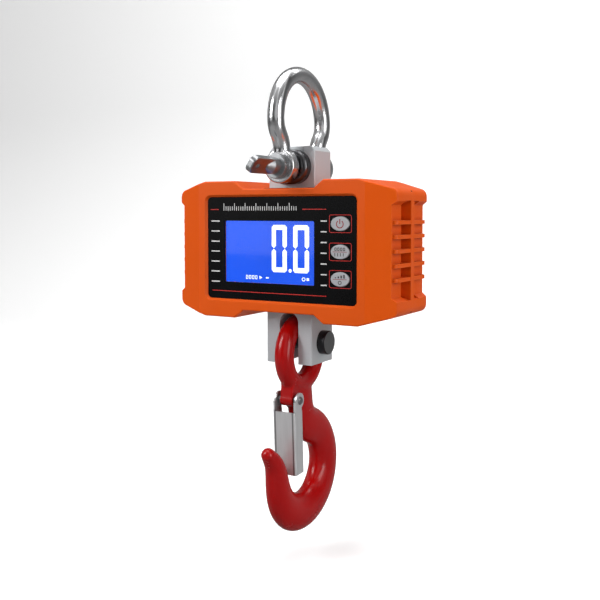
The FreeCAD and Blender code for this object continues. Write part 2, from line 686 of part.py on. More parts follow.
def board_screws():
    return [small_screw(x, BOARD_BACK, z, -Y_AXIS, BOARD_THICKNESS + 5)
            for x in (-POST_X, POST_X) for z in (-POST_Z, POST_Z)]


def board_chips():
    """Microcontroller, converter, driver and crystal on the back of the board."""
    return [box(x - w, x + w, BOARD_BACK, BOARD_BACK + t, z - h / 2, z + h / 2) for x, z, w, h, t in CHIPS]


def board_sockets():
    """One socket for the gauge cable and one for the battery leads."""
    return [box(x - SOCKET_HALF_WIDTH, x + SOCKET_HALF_WIDTH, BOARD_BACK, BOARD_BACK + SOCKET_HEIGHT,
                SOCKET_ROW_Z - SOCKET_HALF_HEIGHT, SOCKET_ROW_Z + SOCKET_HALF_HEIGHT)
            for x in (GAUGE_SOCKET_X, BATTERY_SOCKET_X)]


def load_cell():
    """One block: pierced head above, slotted foot below, and the gauged neck between them."""
    w = HEAD_HALF_WIDTH
    c = HEAD_CHAMFER
    section = outline([(-w, HEAD_BOTTOM), (w, HEAD_BOTTOM), (w, HEAD_TOP - c), (w - c, HEAD_TOP),
                       (c - w, HEAD_TOP), (-w, HEAD_TOP - c)])
    head = upright(section, -HEAD_HALF_DEPTH, HEAD_HALF_DEPTH)
    foot = box(-FOOT_HALF_WIDTH, FOOT_HALF_WIDTH, -FOOT_HALF_DEPTH, FOOT_HALF_DEPTH, FOOT_BOTTOM, FOOT_TOP)
    upright_edge = lambda e: abs(e.BoundBox.ZLength) > 20 and e.BoundBox.YLength < 0.01
    head = rounded(head, CELL_EDGE_ROUND, upright_edge)
    foot = rounded(foot, CELL_EDGE_ROUND, upright_edge)
    neck = box(-NECK_HALF_WIDTH, NECK_HALF_WIDTH, -NECK_HALF_DEPTH, NECK_HALF_DEPTH, FOOT_TOP, HEAD_BOTTOM)
    cell = joined([head, foot, neck])
    slot_round = SLOT_TOP - SLOT_HALF_WIDTH
    depth = FOOT_HALF_DEPTH + 1
    cuts = [box(-SLOT_HALF_WIDTH, SLOT_HALF_WIDTH, -depth, depth, FOOT_BOTTOM - 1, slot_round),
            rod(SLOT_HALF_WIDTH, V(0, -depth, slot_round), Y_AXIS, 2 * depth),
            rod(HOOK_PIN_RADIUS, V(-30, 0, HOOK_PIN_HEIGHT), X_AXIS, 60),
            rod(BUSH_SLEEVE_RADIUS, V(0, -30, PIN_HEIGHT), Y_AXIS, 60),
            rod(NECK_WINDOW_RADIUS, V(0, -20, NECK_WINDOW_Z), Y_AXIS, 40),
            rod(NECK_WINDOW_RADIUS, V(0, -20, -NECK_WINDOW_Z), Y_AXIS, 40)]
    for side in (-1, 1):
        face = side * HEAD_HALF_DEPTH
        cuts.append(bush_flange(min(face, face - side * BUSH_SEAT), max(face, face - side * BUSH_SEAT)))
        floor = face - side * KEYWAY_DEPTH
        cuts.append(box(-KEYWAY_HALF_WIDTH, KEYWAY_HALF_WIDTH, min(face, floor), max(face, floor),
                        PIN_HEIGHT, HEAD_TOP + 1))
        pocket = side * (NECK_HALF_DEPTH - GAUGE_POCKET_DEPTH)
        cuts.append(box(-GAUGE_POCKET_HALF, GAUGE_POCKET_HALF, min(pocket, side * 11), max(pocket, side * 11),
                        -GAUGE_POCKET_HALF_HEIGHT, GAUGE_POCKET_HALF_HEIGHT))
    for x in (-CELL_SCREW_X, CELL_SCREW_X):
        cuts.append(rod(SMALL_SCREW[0], V(x, FOOT_HALF_DEPTH + 1, BRACKET_HEIGHT), -Y_AXIS, 9))
    return cell.cut(cuts)


def bush_flange(y0, y1):
    """Long-sided round: two discs side by side and what joins them."""
    left = rod(BUSH_RADIUS, V(-BUSH_SPREAD, y0, PIN_HEIGHT), Y_AXIS, y1 - y0)
    right = rod(BUSH_RADIUS, V(BUSH_SPREAD, y0, PIN_HEIGHT), Y_AXIS, y1 - y0)
    middle = box(-BUSH_SPREAD, BUSH_SPREAD, y0, y1, PIN_HEIGHT - BUSH_RADIUS, PIN_HEIGHT + BUSH_RADIUS)
    return joined([left, right, middle])


def shackle_bush():
    """Flanged bush in the front of the load cell's head; the rear one is its mirror image."""
    seat = -HEAD_HALF_DEPTH + BUSH_SEAT
    flange = bush_flange(-BUSH_FACE, seat)
    flange = rounded(flange, BUSH_ROUND, lambda e: abs(e.BoundBox.YMax + BUSH_FACE) < 0.01)
    sleeve = rod(BUSH_SLEEVE_RADIUS, V(0, seat, PIN_HEIGHT), Y_AXIS, BUSH_SLEEVE_LENGTH)
    bore = rod(PIN_RADIUS + PIN_CLEARANCE, V(0, -BUSH_FACE - 1, PIN_HEIGHT), Y_AXIS, 40)
    return joined([flange, sleeve]).cut(bore)


def strain_gauges():
    gauges = []
    for side in (-1, 1):
        face = side * (NECK_HALF_DEPTH - GAUGE_POCKET_DEPTH)
        y0 = min(face, face + side * GAUGE_THICKNESS)
        for z in (-NECK_WINDOW_Z, NECK_WINDOW_Z):
            plate = box(-GAUGE_HALF_WIDTH, GAUGE_HALF_WIDTH, y0, y0 + GAUGE_THICKNESS,
                        z - GAUGE_HALF_HEIGHT, z + GAUGE_HALF_HEIGHT)
            hole = rod(NECK_WINDOW_RADIUS, V(0, -20, z), Y_AXIS, 40)
            gauges += plate.cut(hole).Solids
    return gauges


def cell_seal(half_width, half_depth, sign):
    """Rubber ring between the load cell and the floor of a trough, with a lip outside."""
    inner = sign * (TROUGH_FLOOR - WALL)
    outer = sign * (TROUGH_FLOOR + SEAL_LIP)
    low = min(inner, outer)
    high = max(inner, outer)
    w = half_width + SEAL_GAP
    d = half_depth + SEAL_GAP
    ring = box(-w, w, -d, d, low, high)
    lip_low = min(sign * TROUGH_FLOOR, outer)
    w += SEAL_LIP_WIDTH
    d += SEAL_LIP_WIDTH
    lip = box(-w, w, -d, d, lip_low, lip_low + SEAL_LIP)
    return ring.fuse(lip).removeSplitter()


def bent_lead(radius, start, corner, end, bend):
    """Round lead along two straight runs at right angles, joined by an arc."""
    back = (start - corner).normalize()
    ahead = (end - corner).normalize()
    first = corner + back * bend
    last = corner + ahead * bend
    inward = (back + ahead).normalize()
    middle = corner + inward * (bend * (math.sqrt(2) - 1))
    path = Part.Wire([Part.makeLine(start, first), Part.Arc(first, middle, last).toShape(),
                      Part.makeLine(last, end)])
    ring = Part.Wire([Part.makeCircle(radius, start, -back)])
    return path.makePipeShell([ring], True, False)


def gauge_cable():
    radius, bend = GAUGE_CABLE
    corner = V(GAUGE_SOCKET_X, 0, SOCKET_ROW_Z)
    return bent_lead(radius, V(NECK_HALF_WIDTH, 0, SOCKET_ROW_Z), corner,
                     corner + Y_AXIS * (BOARD_BACK + SOCKET_HEIGHT), bend)


def battery_leads():
    radius, bend = BATTERY_LEAD
    side = BATTERY_X + HOLDER_HALF_WIDTH
    depth = BATTERY_LEAD_Y
    return [bent_lead(radius, V(side, depth, z), V(BATTERY_SOCKET_X, depth, z),
                      V(BATTERY_SOCKET_X, BOARD_BACK + SOCKET_HEIGHT, z), bend) for z in BATTERY_LEAD_HEIGHTS]


def cell_bracket():
    """Plate behind the foot that ties the load cell to the rear housing."""
    y0 = FOOT_HALF_DEPTH
    y1 = y0 + BRACKET_THICKNESS
    half = BRACKET_SCREW_X + BRACKET_EDGE
    plate = upright(rectangle(-half, half, -BRACKET_HALF_HEIGHT, BRACKET_HALF_HEIGHT, 2),
                    y0, y1, (0, BRACKET_HEIGHT))
    return plate.cut([rod(SMALL_SCREW[0], V(x, y0 - 1, BRACKET_HEIGHT), Y_AXIS, 6)
                      for x in (-BRACKET_SCREW_X, -CELL_SCREW_X, CELL_SCREW_X, BRACKET_SCREW_X)])


def bracket_screws():
    y0 = FOOT_HALF_DEPTH
    y1 = y0 + BRACKET_THICKNESS
    outer = [small_screw(x, y0, BRACKET_HEIGHT, Y_AXIS, BRACKET_SCREW_LENGTH)
             for x in (-BRACKET_SCREW_X, BRACKET_SCREW_X)]
    inner = [small_screw(x, y1, BRACKET_HEIGHT, -Y_AXIS, BRACKET_SCREW_LENGTH)
             for x in (-CELL_SCREW_X, CELL_SCREW_X)]
    return outer + inner


def battery_places():
    return [BATTERY_X - CELL_SPACING / 2, BATTERY_X + CELL_SPACING / 2]


def battery_depth():
    return INNER_FACE - CELL_RADIUS - HOLDER_SETBACK


def battery_cells():
    cells = []
    for x in battery_places():
        can = rod(CELL_RADIUS, V(x, battery_depth(), -CELL_HALF_LENGTH), Z_AXIS, 2 * CELL_HALF_LENGTH)
        cells.append(can)
    return cells


def battery_holder():
    """Open tray behind the cover: floor, two sides and two end walls."""
    half = CELL_SPACING / 2 + CELL_RADIUS + HOLDER_GAP
    end = CELL_HALF_LENGTH + CONTACT_SPACE
    back = battery_depth() - CELL_RADIUS - HOLDER_GAP
    tray = box(BATTERY_X - half - HOLDER_WALL, BATTERY_X + half + HOLDER_WALL, back - HOLDER_WALL,
               INNER_FACE - HOLDER_GAP, -end - HOLDER_WALL, end + HOLDER_WALL)
    hollow = box(BATTERY_X - half, BATTERY_X + half, back, INNER_FACE, -end, end)
    return tray.cut(hollow)


def battery_contacts():
    """Flat tab and conical spring stand-off at the ends of each cell."""
    end = CELL_HALF_LENGTH + CONTACT_SPACE
    contacts = []
    for x in battery_places():
        for sign in (-1, 1):
            wall = sign * end
            face = wall - sign * CONTACT_SHEET
            tab = box(x - CONTACT_HALF, x + CONTACT_HALF, battery_depth() - CONTACT_HALF,
                      battery_depth() + CONTACT_HALF, min(wall, face), max(wall, face))
            cone = Part.makeCone(*CONTACT_CONE, CONTACT_SPACE - CONTACT_SHEET,
                                 V(x, battery_depth(), face), V(0, 0, -sign))
            contacts.append(tab.fuse(cone).removeSplitter())
    return contacts


def battery_cover():
    face = rectangle(-COVER_HALF_WIDTH, COVER_HALF_WIDTH, -COVER_HALF_HEIGHT, COVER_HALF_HEIGHT, COVER_CORNER)
    plate = upright(face, HOUSING_HALF_DEPTH - COVER_THICKNESS, HOUSING_HALF_DEPTH, (BATTERY_X, 0))
    shank, head, height = SMALL_SCREW
    cuts = []
    for x, z in cover_screw_places():
        cuts.append(rod(shank, V(x, 0, z), Y_AXIS, HOUSING_HALF_DEPTH + 1))
        cuts.append(rod(head + FIT_GAP, V(x, HOUSING_HALF_DEPTH - COVER_SCREW_SEAT, z), Y_AXIS, 2))
    return plate.cut(cuts)


def cover_seal():
    """Flat rubber ring set in the ledge round the battery opening."""
    grow = COVER_SEAL_SETBACK
    width = COVER_SEAL_WIDTH
    outer = rectangle(-OPENING_HALF_WIDTH - grow - width, OPENING_HALF_WIDTH + grow + width,
                      -OPENING_HALF_HEIGHT - grow, OPENING_HALF_HEIGHT + grow, 3)
    inner = rectangle(-OPENING_HALF_WIDTH - grow, OPENING_HALF_WIDTH + grow,
                      -OPENING_HALF_HEIGHT - grow + width, OPENING_HALF_HEIGHT + grow - width, 2)
    ledge = HOUSING_HALF_DEPTH - COVER_THICKNESS
    return upright(outer.cut(inner), ledge - COVER_SEAL_WIDTH, ledge, (BATTERY_X, 0)).cut(
        upright(rectangle(-OPENING_HALF_WIDTH, OPENING_HALF_WIDTH, -OPENING_HALF_HEIGHT,
                          OPENING_HALF_HEIGHT, 2), 0, HOUSING_HALF_DEPTH, (BATTERY_X, 0)))


def cover_screws():
    seat = HOUSING_HALF_DEPTH - COVER_SCREW_SEAT
    return [small_screw(x, seat, z, -Y_AXIS, COVER_SCREW_LENGTH) for x, z in cover_screw_places()]


def charging_socket():
    """Round panel socket: flange outside, blind bore with its centre pin."""
    face = HOUSING_HALF_DEPTH
    flange = rod(SOCKET_FLANGE, V(SOCKET_X, face, SOCKET_Z), Y_AXIS, SOCKET_FLANGE_THICKNESS)
    top = face + SOCKET_FLANGE_THICKNESS
    flange = rounded(flange, SMALL_ROUND, lambda e: abs(e.BoundBox.YMin - top) < 0.01)
    barrel = rod(SOCKET_RADIUS, V(SOCKET_X, face - SOCKET_LENGTH, SOCKET_Z), Y_AXIS, SOCKET_LENGTH)
    floor = face - SOCKET_BORE_DEPTH
    bore = rod(SOCKET_BORE, V(SOCKET_X, floor, SOCKET_Z), Y_AXIS, SOCKET_BORE_DEPTH + 3)
    pin = rod(SOCKET_PIN, V(SOCKET_X, floor - 0.5, SOCKET_Z), Y_AXIS, SOCKET_BORE_DEPTH - 0.5)
    return joined([joined([flange, barrel]).cut(bore), pin])


def socket_nut():
    nut = upright(hexagon(NUT_RADIUS), INNER_FACE - NUT_THICKNESS, INNER_FACE, (SOCKET_X, SOCKET_Z))
    return nut.cut(rod(SOCKET_RADIUS, V(SOCKET_X, 0, SOCKET_Z), Y_AXIS, 40))


def hook_pin():
    """Cross pin: plain head on the right, clip groove on the left."""
    left = -FOOT_HALF_WIDTH - HOOK_PIN_TAIL
    shank = rod(HOOK_PIN_RADIUS, V(left, 0, HOOK_PIN_HEIGHT), X_AXIS, FOOT_HALF_WIDTH - left)
    head = rod(HOOK_PIN_HEAD_RADIUS, V(FOOT_HALF_WIDTH, 0, HOOK_PIN_HEIGHT), X_AXIS, HOOK_PIN_HEAD)
    end = FOOT_HALF_WIDTH + HOOK_PIN_HEAD
    head = rounded(head, SMALL_ROUND, lambda e: abs(e.BoundBox.XMin - end) < 0.01)
    return joined([shank, head]).cut(pin_clip())


def pin_clip():
    """Open ring in the groove of the hook pin, against the foot's left face."""
    start = V(-FOOT_HALF_WIDTH - CLIP_THICKNESS, 0, HOOK_PIN_HEIGHT)
    ring = rod(CLIP_RADIUS, start, X_AXIS, CLIP_THICKNESS)
    ring = ring.cut(rod(HOOK_PIN_RADIUS - CLIP_GROOVE, start, X_AXIS, CLIP_THICKNESS))
    gap = box(-FOOT_HALF_WIDTH - 5, 0, -CLIP_MOUTH, CLIP_MOUTH, HOOK_PIN_HEIGHT - 20, HOOK_PIN_HEIGHT)
    return ring.cut(gap)


def bow_path():
    """Middle line of the bow in the YZ plane: ear, outward bend, crown, and the same back down."""
    swell = CROWN_RADIUS - EAR_MIDDLE
    turn = math.acos(1 - swell / (2 * LIMB_BEND))
    foot = CROWN_CENTRE - 2 * LIMB_BEND * math.sin(turn)

    def on_lower(angle, sign):
        centre = EAR_MIDDLE + LIMB_BEND
        return V(0, sign * (centre - LIMB_BEND * math.cos(angle)), foot + LIMB_BEND * math.sin(angle))

    def on_upper(angle, sign):
        centre = CROWN_RADIUS - LIMB_BEND
        return V(0, sign * (centre + LIMB_BEND * math.cos(angle)), CROWN_CENTRE - LIMB_BEND * math.sin(angle))

    def limb(sign):
        return [Part.makeLine(V(0, sign * EAR_MIDDLE, PIN_HEIGHT), V(0, sign * EAR_MIDDLE, foot)),
                Part.Arc(on_lower(0, sign), on_lower(turn / 2, sign), on_lower(turn, sign)).toShape(),
                Part.Arc(on_upper(turn, sign), on_upper(turn / 2, sign), on_upper(0, sign)).toShape()]

    crown = Part.Arc(V(0, -CROWN_RADIUS, CROWN_CENTRE), V(0, 0, CROWN_CENTRE + CROWN_RADIUS),
                     V(0, CROWN_RADIUS, CROWN_CENTRE)).toShape()
    edges = limb(-1) + [crown] + limb(1)
    return Part.Wire(Part.__sortEdges__(edges))


def shackle_bow():
    """Bent bar with a flattened round ear at each end, both ears pierced for the pin."""
    ring = Part.Wire([Part.makeCircle(ROD_RADIUS, V(0, -EAR_MIDDLE, PIN_HEIGHT), Z_AXIS)])
    bar = bow_path().makePipeShell([ring], True, False)
    pieces = [bar]
    for sign in (-1, 1):
        start = min(sign * EAR_INNER, sign * PIN_SEAT)
        ear = rod(EAR_RADIUS, V(0, start, PIN_HEIGHT), Y_AXIS, EAR_THICKNESS)
        ear = rounded(ear, EAR_ROUND, lambda e: len(e.Vertexes) == 1 and e.BoundBox.XLength > EAR_RADIUS)
        pieces.append(ear)
    bow = joined(pieces)
    level = PIN_HEIGHT + BUSH_RADIUS + BUSH_SPREAD + FLAT_MARGIN
    flats = [box(-40, 40, -EAR_INNER, EAR_INNER, 0, level)]
    for sign in (-1, 1):
        outer = sign * PIN_SEAT
        flats.append(box(-40, 40, min(outer, outer + sign * 10), max(outer, outer + sign * 10), 0,
                         PIN_HEIGHT + COLLAR_RADIUS + FLAT_MARGIN))
    flats.append(rod(PIN_RADIUS + PIN_CLEARANCE, V(0, -50, PIN_HEIGHT), Y_AXIS, 100))
    return bow.cut(flats)


def shackle_pin():
    """Pin with a knurled collar, a round shoulder and a flat finger tab with its wire hole."""
    collar_back = -PIN_SEAT - COLLAR_GAP
    collar_front = collar_back - COLLAR_THICKNESS
    shank = rod(PIN_RADIUS, V(0, collar_back, 0), Y_AXIS, PIN_SEAT - collar_back + PIN_TAIL)
    collar = rod(COLLAR_RADIUS, V(0, collar_front, 0), Y_AXIS, COLLAR_THICKNESS)
    collar = rounded(collar, KNURL_SETBACK, lambda e: len(e.Vertexes) == 1)
    grooves = []
    for i in range(KNURL_COUNT):
        angle = 2 * math.pi * i / KNURL_COUNT
        centre = V(COLLAR_RADIUS * math.cos(angle), collar_front - 1, COLLAR_RADIUS * math.sin(angle))
        grooves.append(rod(KNURL_RADIUS, centre, Y_AXIS, COLLAR_THICKNESS - KNURL_SETBACK))
    collar = collar.cut(grooves)
    shoulder = rod(SHOULDER_RADIUS, V(0, collar_front - SHOULDER_LENGTH, 0), Y_AXIS, SHOULDER_LENGTH)
    tip = collar_front - SHOULDER_LENGTH - TAB_LENGTH
    profile = rectangle(tip, collar_front, -TAB_HALF_WIDTH, TAB_HALF_WIDTH, TAB_CORNER)
    profile.rotate(V(0, 0, 0), Y_AXIS, 90)
    profile.rotate(V(0, 0, 0), X_AXIS, 90)
    tab = profile.extrude(V(TAB_THICKNESS, 0, 0))
    tab.translate(V(-tab.BoundBox.Center.x, tip - tab.BoundBox.YMin, -tab.BoundBox.Center.z))
    tab = rounded(tab, SMALL_ROUND, lambda e: abs(e.BoundBox.XLength) < 0.01)
    hole = rod(TAB_HOLE_RADIUS, V(-20, tip + TAB_HOLE_SETBACK, 0), X_AXIS, 40)
    slope = Part.makeCone(SHOULDER_RADIUS, *TAB_SLOPE, V(0, collar_front - SHOULDER_LENGTH, 0), -Y_AXIS)
    handle = joined([shoulder, slope, tab]).cut(hole)
    handle.rotate(V(0, 0, 0), Y_AXIS, TAB_TURN)
    pin = joined([shank, collar, handle])
    pin.translate(V(0, 0, PIN_HEIGHT))
    return pin


def hook_stations():
    """Middle line of the hook as (y, z, half thickness in the hook's plane, half thickness across)."""
    stations = [(y, EYE_HEIGHT - fall, thick, across) for y, fall, thick, across in HOOK_NECK]
    for angle, in_plane, across in HOOK_BOWL:
        turn = math.radians(angle)
        wide = BOWL_BACK_RADIUS if math.cos(turn) > 0 else BOWL_FRONT_RADIUS
        tall = BOWL_FOOT_RADIUS
        stations.append((BOWL_Y + wide * math.cos(turn), BOWL_HEIGHT + tall * math.sin(turn),
                         in_plane, across))
    return stations + [(y, EYE_HEIGHT - fall, thick, across) for y, fall, thick, across in HOOK_TIP]


def hook_section(station, direction):
    """Oval wire across the middle line; direction is the line's heading in the YZ plane."""
    y, z, in_plane, across = station
    normal = V(0, -direction.z, direction.y)
    if in_plane >= across:
        curve = Part.Ellipse(V(0, y, z) + normal * in_plane, V(across, y, z), V(0, y, z))
    else:
        curve = Part.Ellipse(V(across, y, z), V(0, y, z) + normal * in_plane, V(0, y, z))
    return Part.Wire([curve.toShape()])


def hook():
    """Eye, neck, bowl and turned-out tip, with the latch's boss and the room its cheeks need."""
    stations = hook_stations()
    points = [V(0, s[0], s[1]) for s in stations]
    sections = []
    for i, station in enumerate(stations):
        heading = points[min(i + 1, len(points) - 1)] - points[max(i - 1, 0)]
        sections.append(hook_section(station, heading.normalize()))
    body = Part.makeLoft(sections, True, False)
    tip = points[-1]
    end = Part.makeSphere(stations[-1][2], tip)
    eye = Part.makeTorus(EYE_RADIUS, EYE_ROD_RADIUS, V(0, 0, EYE_HEIGHT), X_AXIS)
    pivot = V(0, LATCH_Y, LATCH_HEIGHT)
    boss = rod(BOSS_RADIUS, pivot - X_AXIS * BOSS_HALF_WIDTH, X_AXIS, 2 * BOSS_HALF_WIDTH)
    solid = body.fuse([eye, end])
    for sign in (-1, 1):
        start = V(sign * (BOSS_HALF_WIDTH + BOSS_SHOULDER), LATCH_Y, LATCH_HEIGHT)
        solid = solid.cut([rod(LATCH_EAR_RADIUS + EAR_ROOM, start, X_AXIS * sign, 20), cheek_room(sign)])
    solid = solid.fuse([boss, latch_lug()])
    return solid.cut(rod(LATCH_PIN_RADIUS, pivot - X_AXIS * 20, X_AXIS, 40))


def latch_lug():
    """Thick plate that carries the boss down from the eye and back into the neck."""
    points = [(LATCH_Y - BOSS_RADIUS + 0.4, LATCH_HEIGHT), (LATCH_Y - 3, LATCH_HEIGHT + 14),
              (0, LATCH_HEIGHT + 12), (0, LATCH_HEIGHT - 12), (LATCH_Y + 3, LATCH_HEIGHT - 6)]
    corners = [V(-BOSS_HALF_WIDTH, y, z) for y, z in points]
    return Part.Face(Part.makePolygon(corners + corners[:1])).extrude(X_AXIS * (2 * BOSS_HALF_WIDTH))


def cheek_room(sign):
    """What a cheek of the latch passes through as it opens, on one side of the hook."""
    inner = LATCH_HALF_WIDTH - LATCH_SHEET - LATCH_RELIEF
    turn = math.radians(LATCH_TILT + LATCH_OPEN + 1)
    down = V(0, math.sin(turn), -math.cos(turn))
    across = V(0, math.cos(turn), math.sin(turn))
    pivot = V(sign * inner, LATCH_Y, LATCH_HEIGHT)
    back = pivot + across * (LATCH_BACK + 0.5)
    front = pivot - Y_AXIS * (LATCH_FRONT + 1)
    reach = LATCH_LENGTH
    points = [front, back, back + down * reach, front - Z_AXIS * reach]
    return Part.Face(Part.makePolygon(points + points[:1])).extrude(X_AXIS * (sign * 20))


def latch_pin():
    """Rivet through the hook's boss and both ears of the latch."""
    reach = LATCH_HALF_WIDTH + LATCH_RELIEF
    shank = rod(LATCH_PIN_RADIUS, V(-reach, LATCH_Y, LATCH_HEIGHT), X_AXIS, 2 * reach)
    heads = []
    for sign in (-1, 1):
        start = V(sign * (LATCH_HALF_WIDTH + LATCH_PIN_GAP), LATCH_Y, LATCH_HEIGHT)
        heads.append(Part.makeCone(*LATCH_PIN_HEAD_RADII, LATCH_PIN_HEAD, start, X_AXIS * sign))
    return joined([shank] + heads)


def latch():
    """Pressed channel: web towards the front, a cheek on each side, ears round the rivet."""
    z0 = LATCH_HEIGHT - LATCH_LENGTH
    web_top = LATCH_HEIGHT - LATCH_WEB_DROP
    front = LATCH_Y - LATCH_FRONT
    back = LATCH_Y + LATCH_BACK
    w = LATCH_HALF_WIDTH
    body = box(-w, w, front, back, z0, web_top)
    body = rounded(body, LATCH_FOLD_ROUND,
                   lambda e: e.BoundBox.ZLength > 20 and abs(e.BoundBox.YMax - front) < 0.01)
    ears = []
    for sign in (-1, 1):
        outer = sign * w
        inner = sign * (w - LATCH_SHEET)
        ears.append(rod(LATCH_EAR_RADIUS, V(min(outer, inner), LATCH_Y, LATCH_HEIGHT), X_AXIS, LATCH_SHEET))
        ears.append(box(min(outer, inner), max(outer, inner), front + 1.2, back - 0.4, web_top - 1,
                        LATCH_HEIGHT))
    solid = joined([body] + ears)
    hollow = box(-w + LATCH_SHEET, w - LATCH_SHEET, front + LATCH_SHEET, back + 1, z0 - 1, web_top + 1)
    hole = rod(LATCH_PIN_RADIUS + PIN_CLEARANCE, V(-20, LATCH_Y, LATCH_HEIGHT), X_AXIS, 40)
    solid = solid.cut([hollow, hole])
    solid.rotate(V(0, LATCH_Y, LATCH_HEIGHT), X_AXIS, LATCH_TILT)
    return solid


def latch_springs():
    """A torsion spring on each side of the boss: two turns, and a tail that works on the latch's ear."""
    springs = []
    for sign in (-1, 1):
        middle = sign * (BOSS_HALF_WIDTH + 2 * SPRING_WIRE + SPRING_GAP)
        pitch = SPRING_WIRE * SPRING_CLOSENESS
        turns = [Part.makeTorus(SPRING_COIL, SPRING_WIRE, V(middle + step * pitch, LATCH_Y, LATCH_HEIGHT),
                                X_AXIS) for step in (-1, 1)]
        top = V(middle + sign * pitch, LATCH_Y - SPRING_COIL, LATCH_HEIGHT)
        spring = joined(turns + [rod(SPRING_WIRE, top, -Z_AXIS, SPRING_TAIL)])
        spring.rotate(V(0, LATCH_Y, LATCH_HEIGHT), X_AXIS, LATCH_TILT)
        springs.append(spring)
    return springs


def main():
    os.makedirs("parts", exist_ok=True)
    case = hollow_case()
    head_seal = cell_seal(HEAD_HALF_WIDTH, HEAD_HALF_DEPTH, 1)
    foot_seal = cell_seal(FOOT_HALF_WIDTH, FOOT_HALF_DEPTH, -1)
    cell = load_cell()
    bush = shackle_bush()
    nodes = {
        "front_housing": front_housing(case),
        "rear_housing": rear_housing(case),
        "housing_gasket": gasket(),
        "housing_screws": group(case_screws()),
        "panel_overlay": panel_overlay(),
        "display_lens": window(LENS_MARGIN, PANEL_FLOOR, PANEL_FLOOR + LENS_THICKNESS),
        "lcd_glass": window(GLASS_MARGIN, GLASS_FACE, BACKLIGHT_FACE),
        "lcd_backlight": window(GLASS_MARGIN, BACKLIGHT_FACE, BACKLIGHT_FACE + BACKLIGHT_THICKNESS),
        "lcd_frame": display_frame(),
        "main_board": main_board(),
        "board_screws": group(board_screws()),
        "board_chips": group(board_chips()),
        "board_sockets": group(board_sockets()),
        "key_switches": group([key_switch(z) for z in BUTTON_HEIGHTS.values()]),
        "buzzer": rod(BUZZER_RADIUS, V(BUZZER_PLACE[0], BOARD_BACK, BUZZER_PLACE[1]), Y_AXIS, BUZZER_HEIGHT),
        "load_cell": cell,
        "shackle_bushes": group([bush, bush.mirror(V(0, 0, 0), Y_AXIS)]),
        "strain_gauges": group(strain_gauges()),
        "top_seal": head_seal.cut(cell),
        "bottom_seal": foot_seal.cut(cell),
        "gauge_cable": gauge_cable(),
        "cell_bracket": cell_bracket(),
        "bracket_screws": group(bracket_screws()),
        "battery_cells": group(battery_cells()),
        "battery_holder": battery_holder(),
        "battery_contacts": group(battery_contacts()),
        "battery_leads": group(battery_leads()),
        "battery_cover": battery_cover(),
        "cover_seal": cover_seal(),
        "cover_screws": group(cover_screws()),
        "charging_socket": charging_socket(),
        "socket_nut": socket_nut(),
        "hook_pin": hook_pin(),
        "hook_pin_clip": pin_clip(),
        "shackle_bow": shackle_bow(),
        "shackle_pin": shackle_pin(),
        "hook": hook(),
        "latch_pin": latch_pin(),
        "latch": latch(),
        "latch_springs": group(latch_springs()),
    }
    for name, height in BUTTON_HEIGHTS.items():
        nodes[name] = button(height)
    for name, shape in nodes.items():
        save(name, shape)


main()
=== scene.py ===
import math

import bmesh
import bpy
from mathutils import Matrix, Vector


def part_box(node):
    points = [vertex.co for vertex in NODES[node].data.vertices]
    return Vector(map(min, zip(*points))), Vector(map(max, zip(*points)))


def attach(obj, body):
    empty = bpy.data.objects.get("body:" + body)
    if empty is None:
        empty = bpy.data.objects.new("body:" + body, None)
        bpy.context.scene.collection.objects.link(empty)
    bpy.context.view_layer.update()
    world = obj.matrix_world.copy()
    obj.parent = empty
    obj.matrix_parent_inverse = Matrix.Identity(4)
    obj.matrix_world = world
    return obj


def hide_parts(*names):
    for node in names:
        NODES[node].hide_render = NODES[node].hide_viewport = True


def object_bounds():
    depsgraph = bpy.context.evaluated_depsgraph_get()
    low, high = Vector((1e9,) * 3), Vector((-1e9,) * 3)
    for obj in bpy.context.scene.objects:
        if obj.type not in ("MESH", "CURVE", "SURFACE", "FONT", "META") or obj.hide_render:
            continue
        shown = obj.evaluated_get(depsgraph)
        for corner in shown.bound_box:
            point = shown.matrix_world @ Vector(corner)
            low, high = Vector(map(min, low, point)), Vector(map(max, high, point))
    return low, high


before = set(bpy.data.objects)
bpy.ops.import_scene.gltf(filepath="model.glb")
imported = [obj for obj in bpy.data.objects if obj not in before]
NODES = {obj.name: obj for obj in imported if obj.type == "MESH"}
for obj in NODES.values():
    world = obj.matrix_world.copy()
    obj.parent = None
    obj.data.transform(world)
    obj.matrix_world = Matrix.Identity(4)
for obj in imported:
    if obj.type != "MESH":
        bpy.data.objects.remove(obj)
CAD_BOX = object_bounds()

MM = 0.001
WHITE = (1.0, 1.0, 1.0, 1.0)
GRAIN_DEPTH = 0.05 * MM     # bump height of a fine surface grain

# Printed marks, in millimetres from the housing's middle.
PRINT_SUNK = 0.02 * MM      # the print's back lies this far inside the face that it is on
PANEL_PRINT = 0.06 * MM
FINE_PRINT = 0.05 * MM
TICK_HALF = 0.45
LEFT_TICKS = (22.0, 14.2, 6.2, -1.6, -9.5, -17.3, -25.3)
RIGHT_TICKS = (22.5, 14.65, 6.8, -1.05, -8.9, -16.75, -24.6)
GRADUATIONS = 34
GRADUATION_START = -49.7
GRADUATION_SPAN = 65.2
GRADUATION_HALF = 0.28
KEY_X = 52.4
KEY_MIDDLES = {"power": 20.6, "hold": 0.2, "zero": -19.7}
KEY_FRAME = (43.3, 61.6, 6.6)
CORNER_STEPS = 6
ARC_STEPS = 24

# The lit digits, in millimetres.
DIGIT_BOTTOM = -16.5
DIGIT_TOP = 19.3
DIGIT_SIDES = ((-7.5, 5.8), (11.4, 25.0))
STROKE = 3.7
CORNER_CUT = 1.5
SEGMENT_GAP = 0.22
POINT = (8.7, -15.1, 1.35)  # centre and radius

# The forged hook.
VOXEL = 0.9 * MM
SMOOTHING_ROUNDS = 5

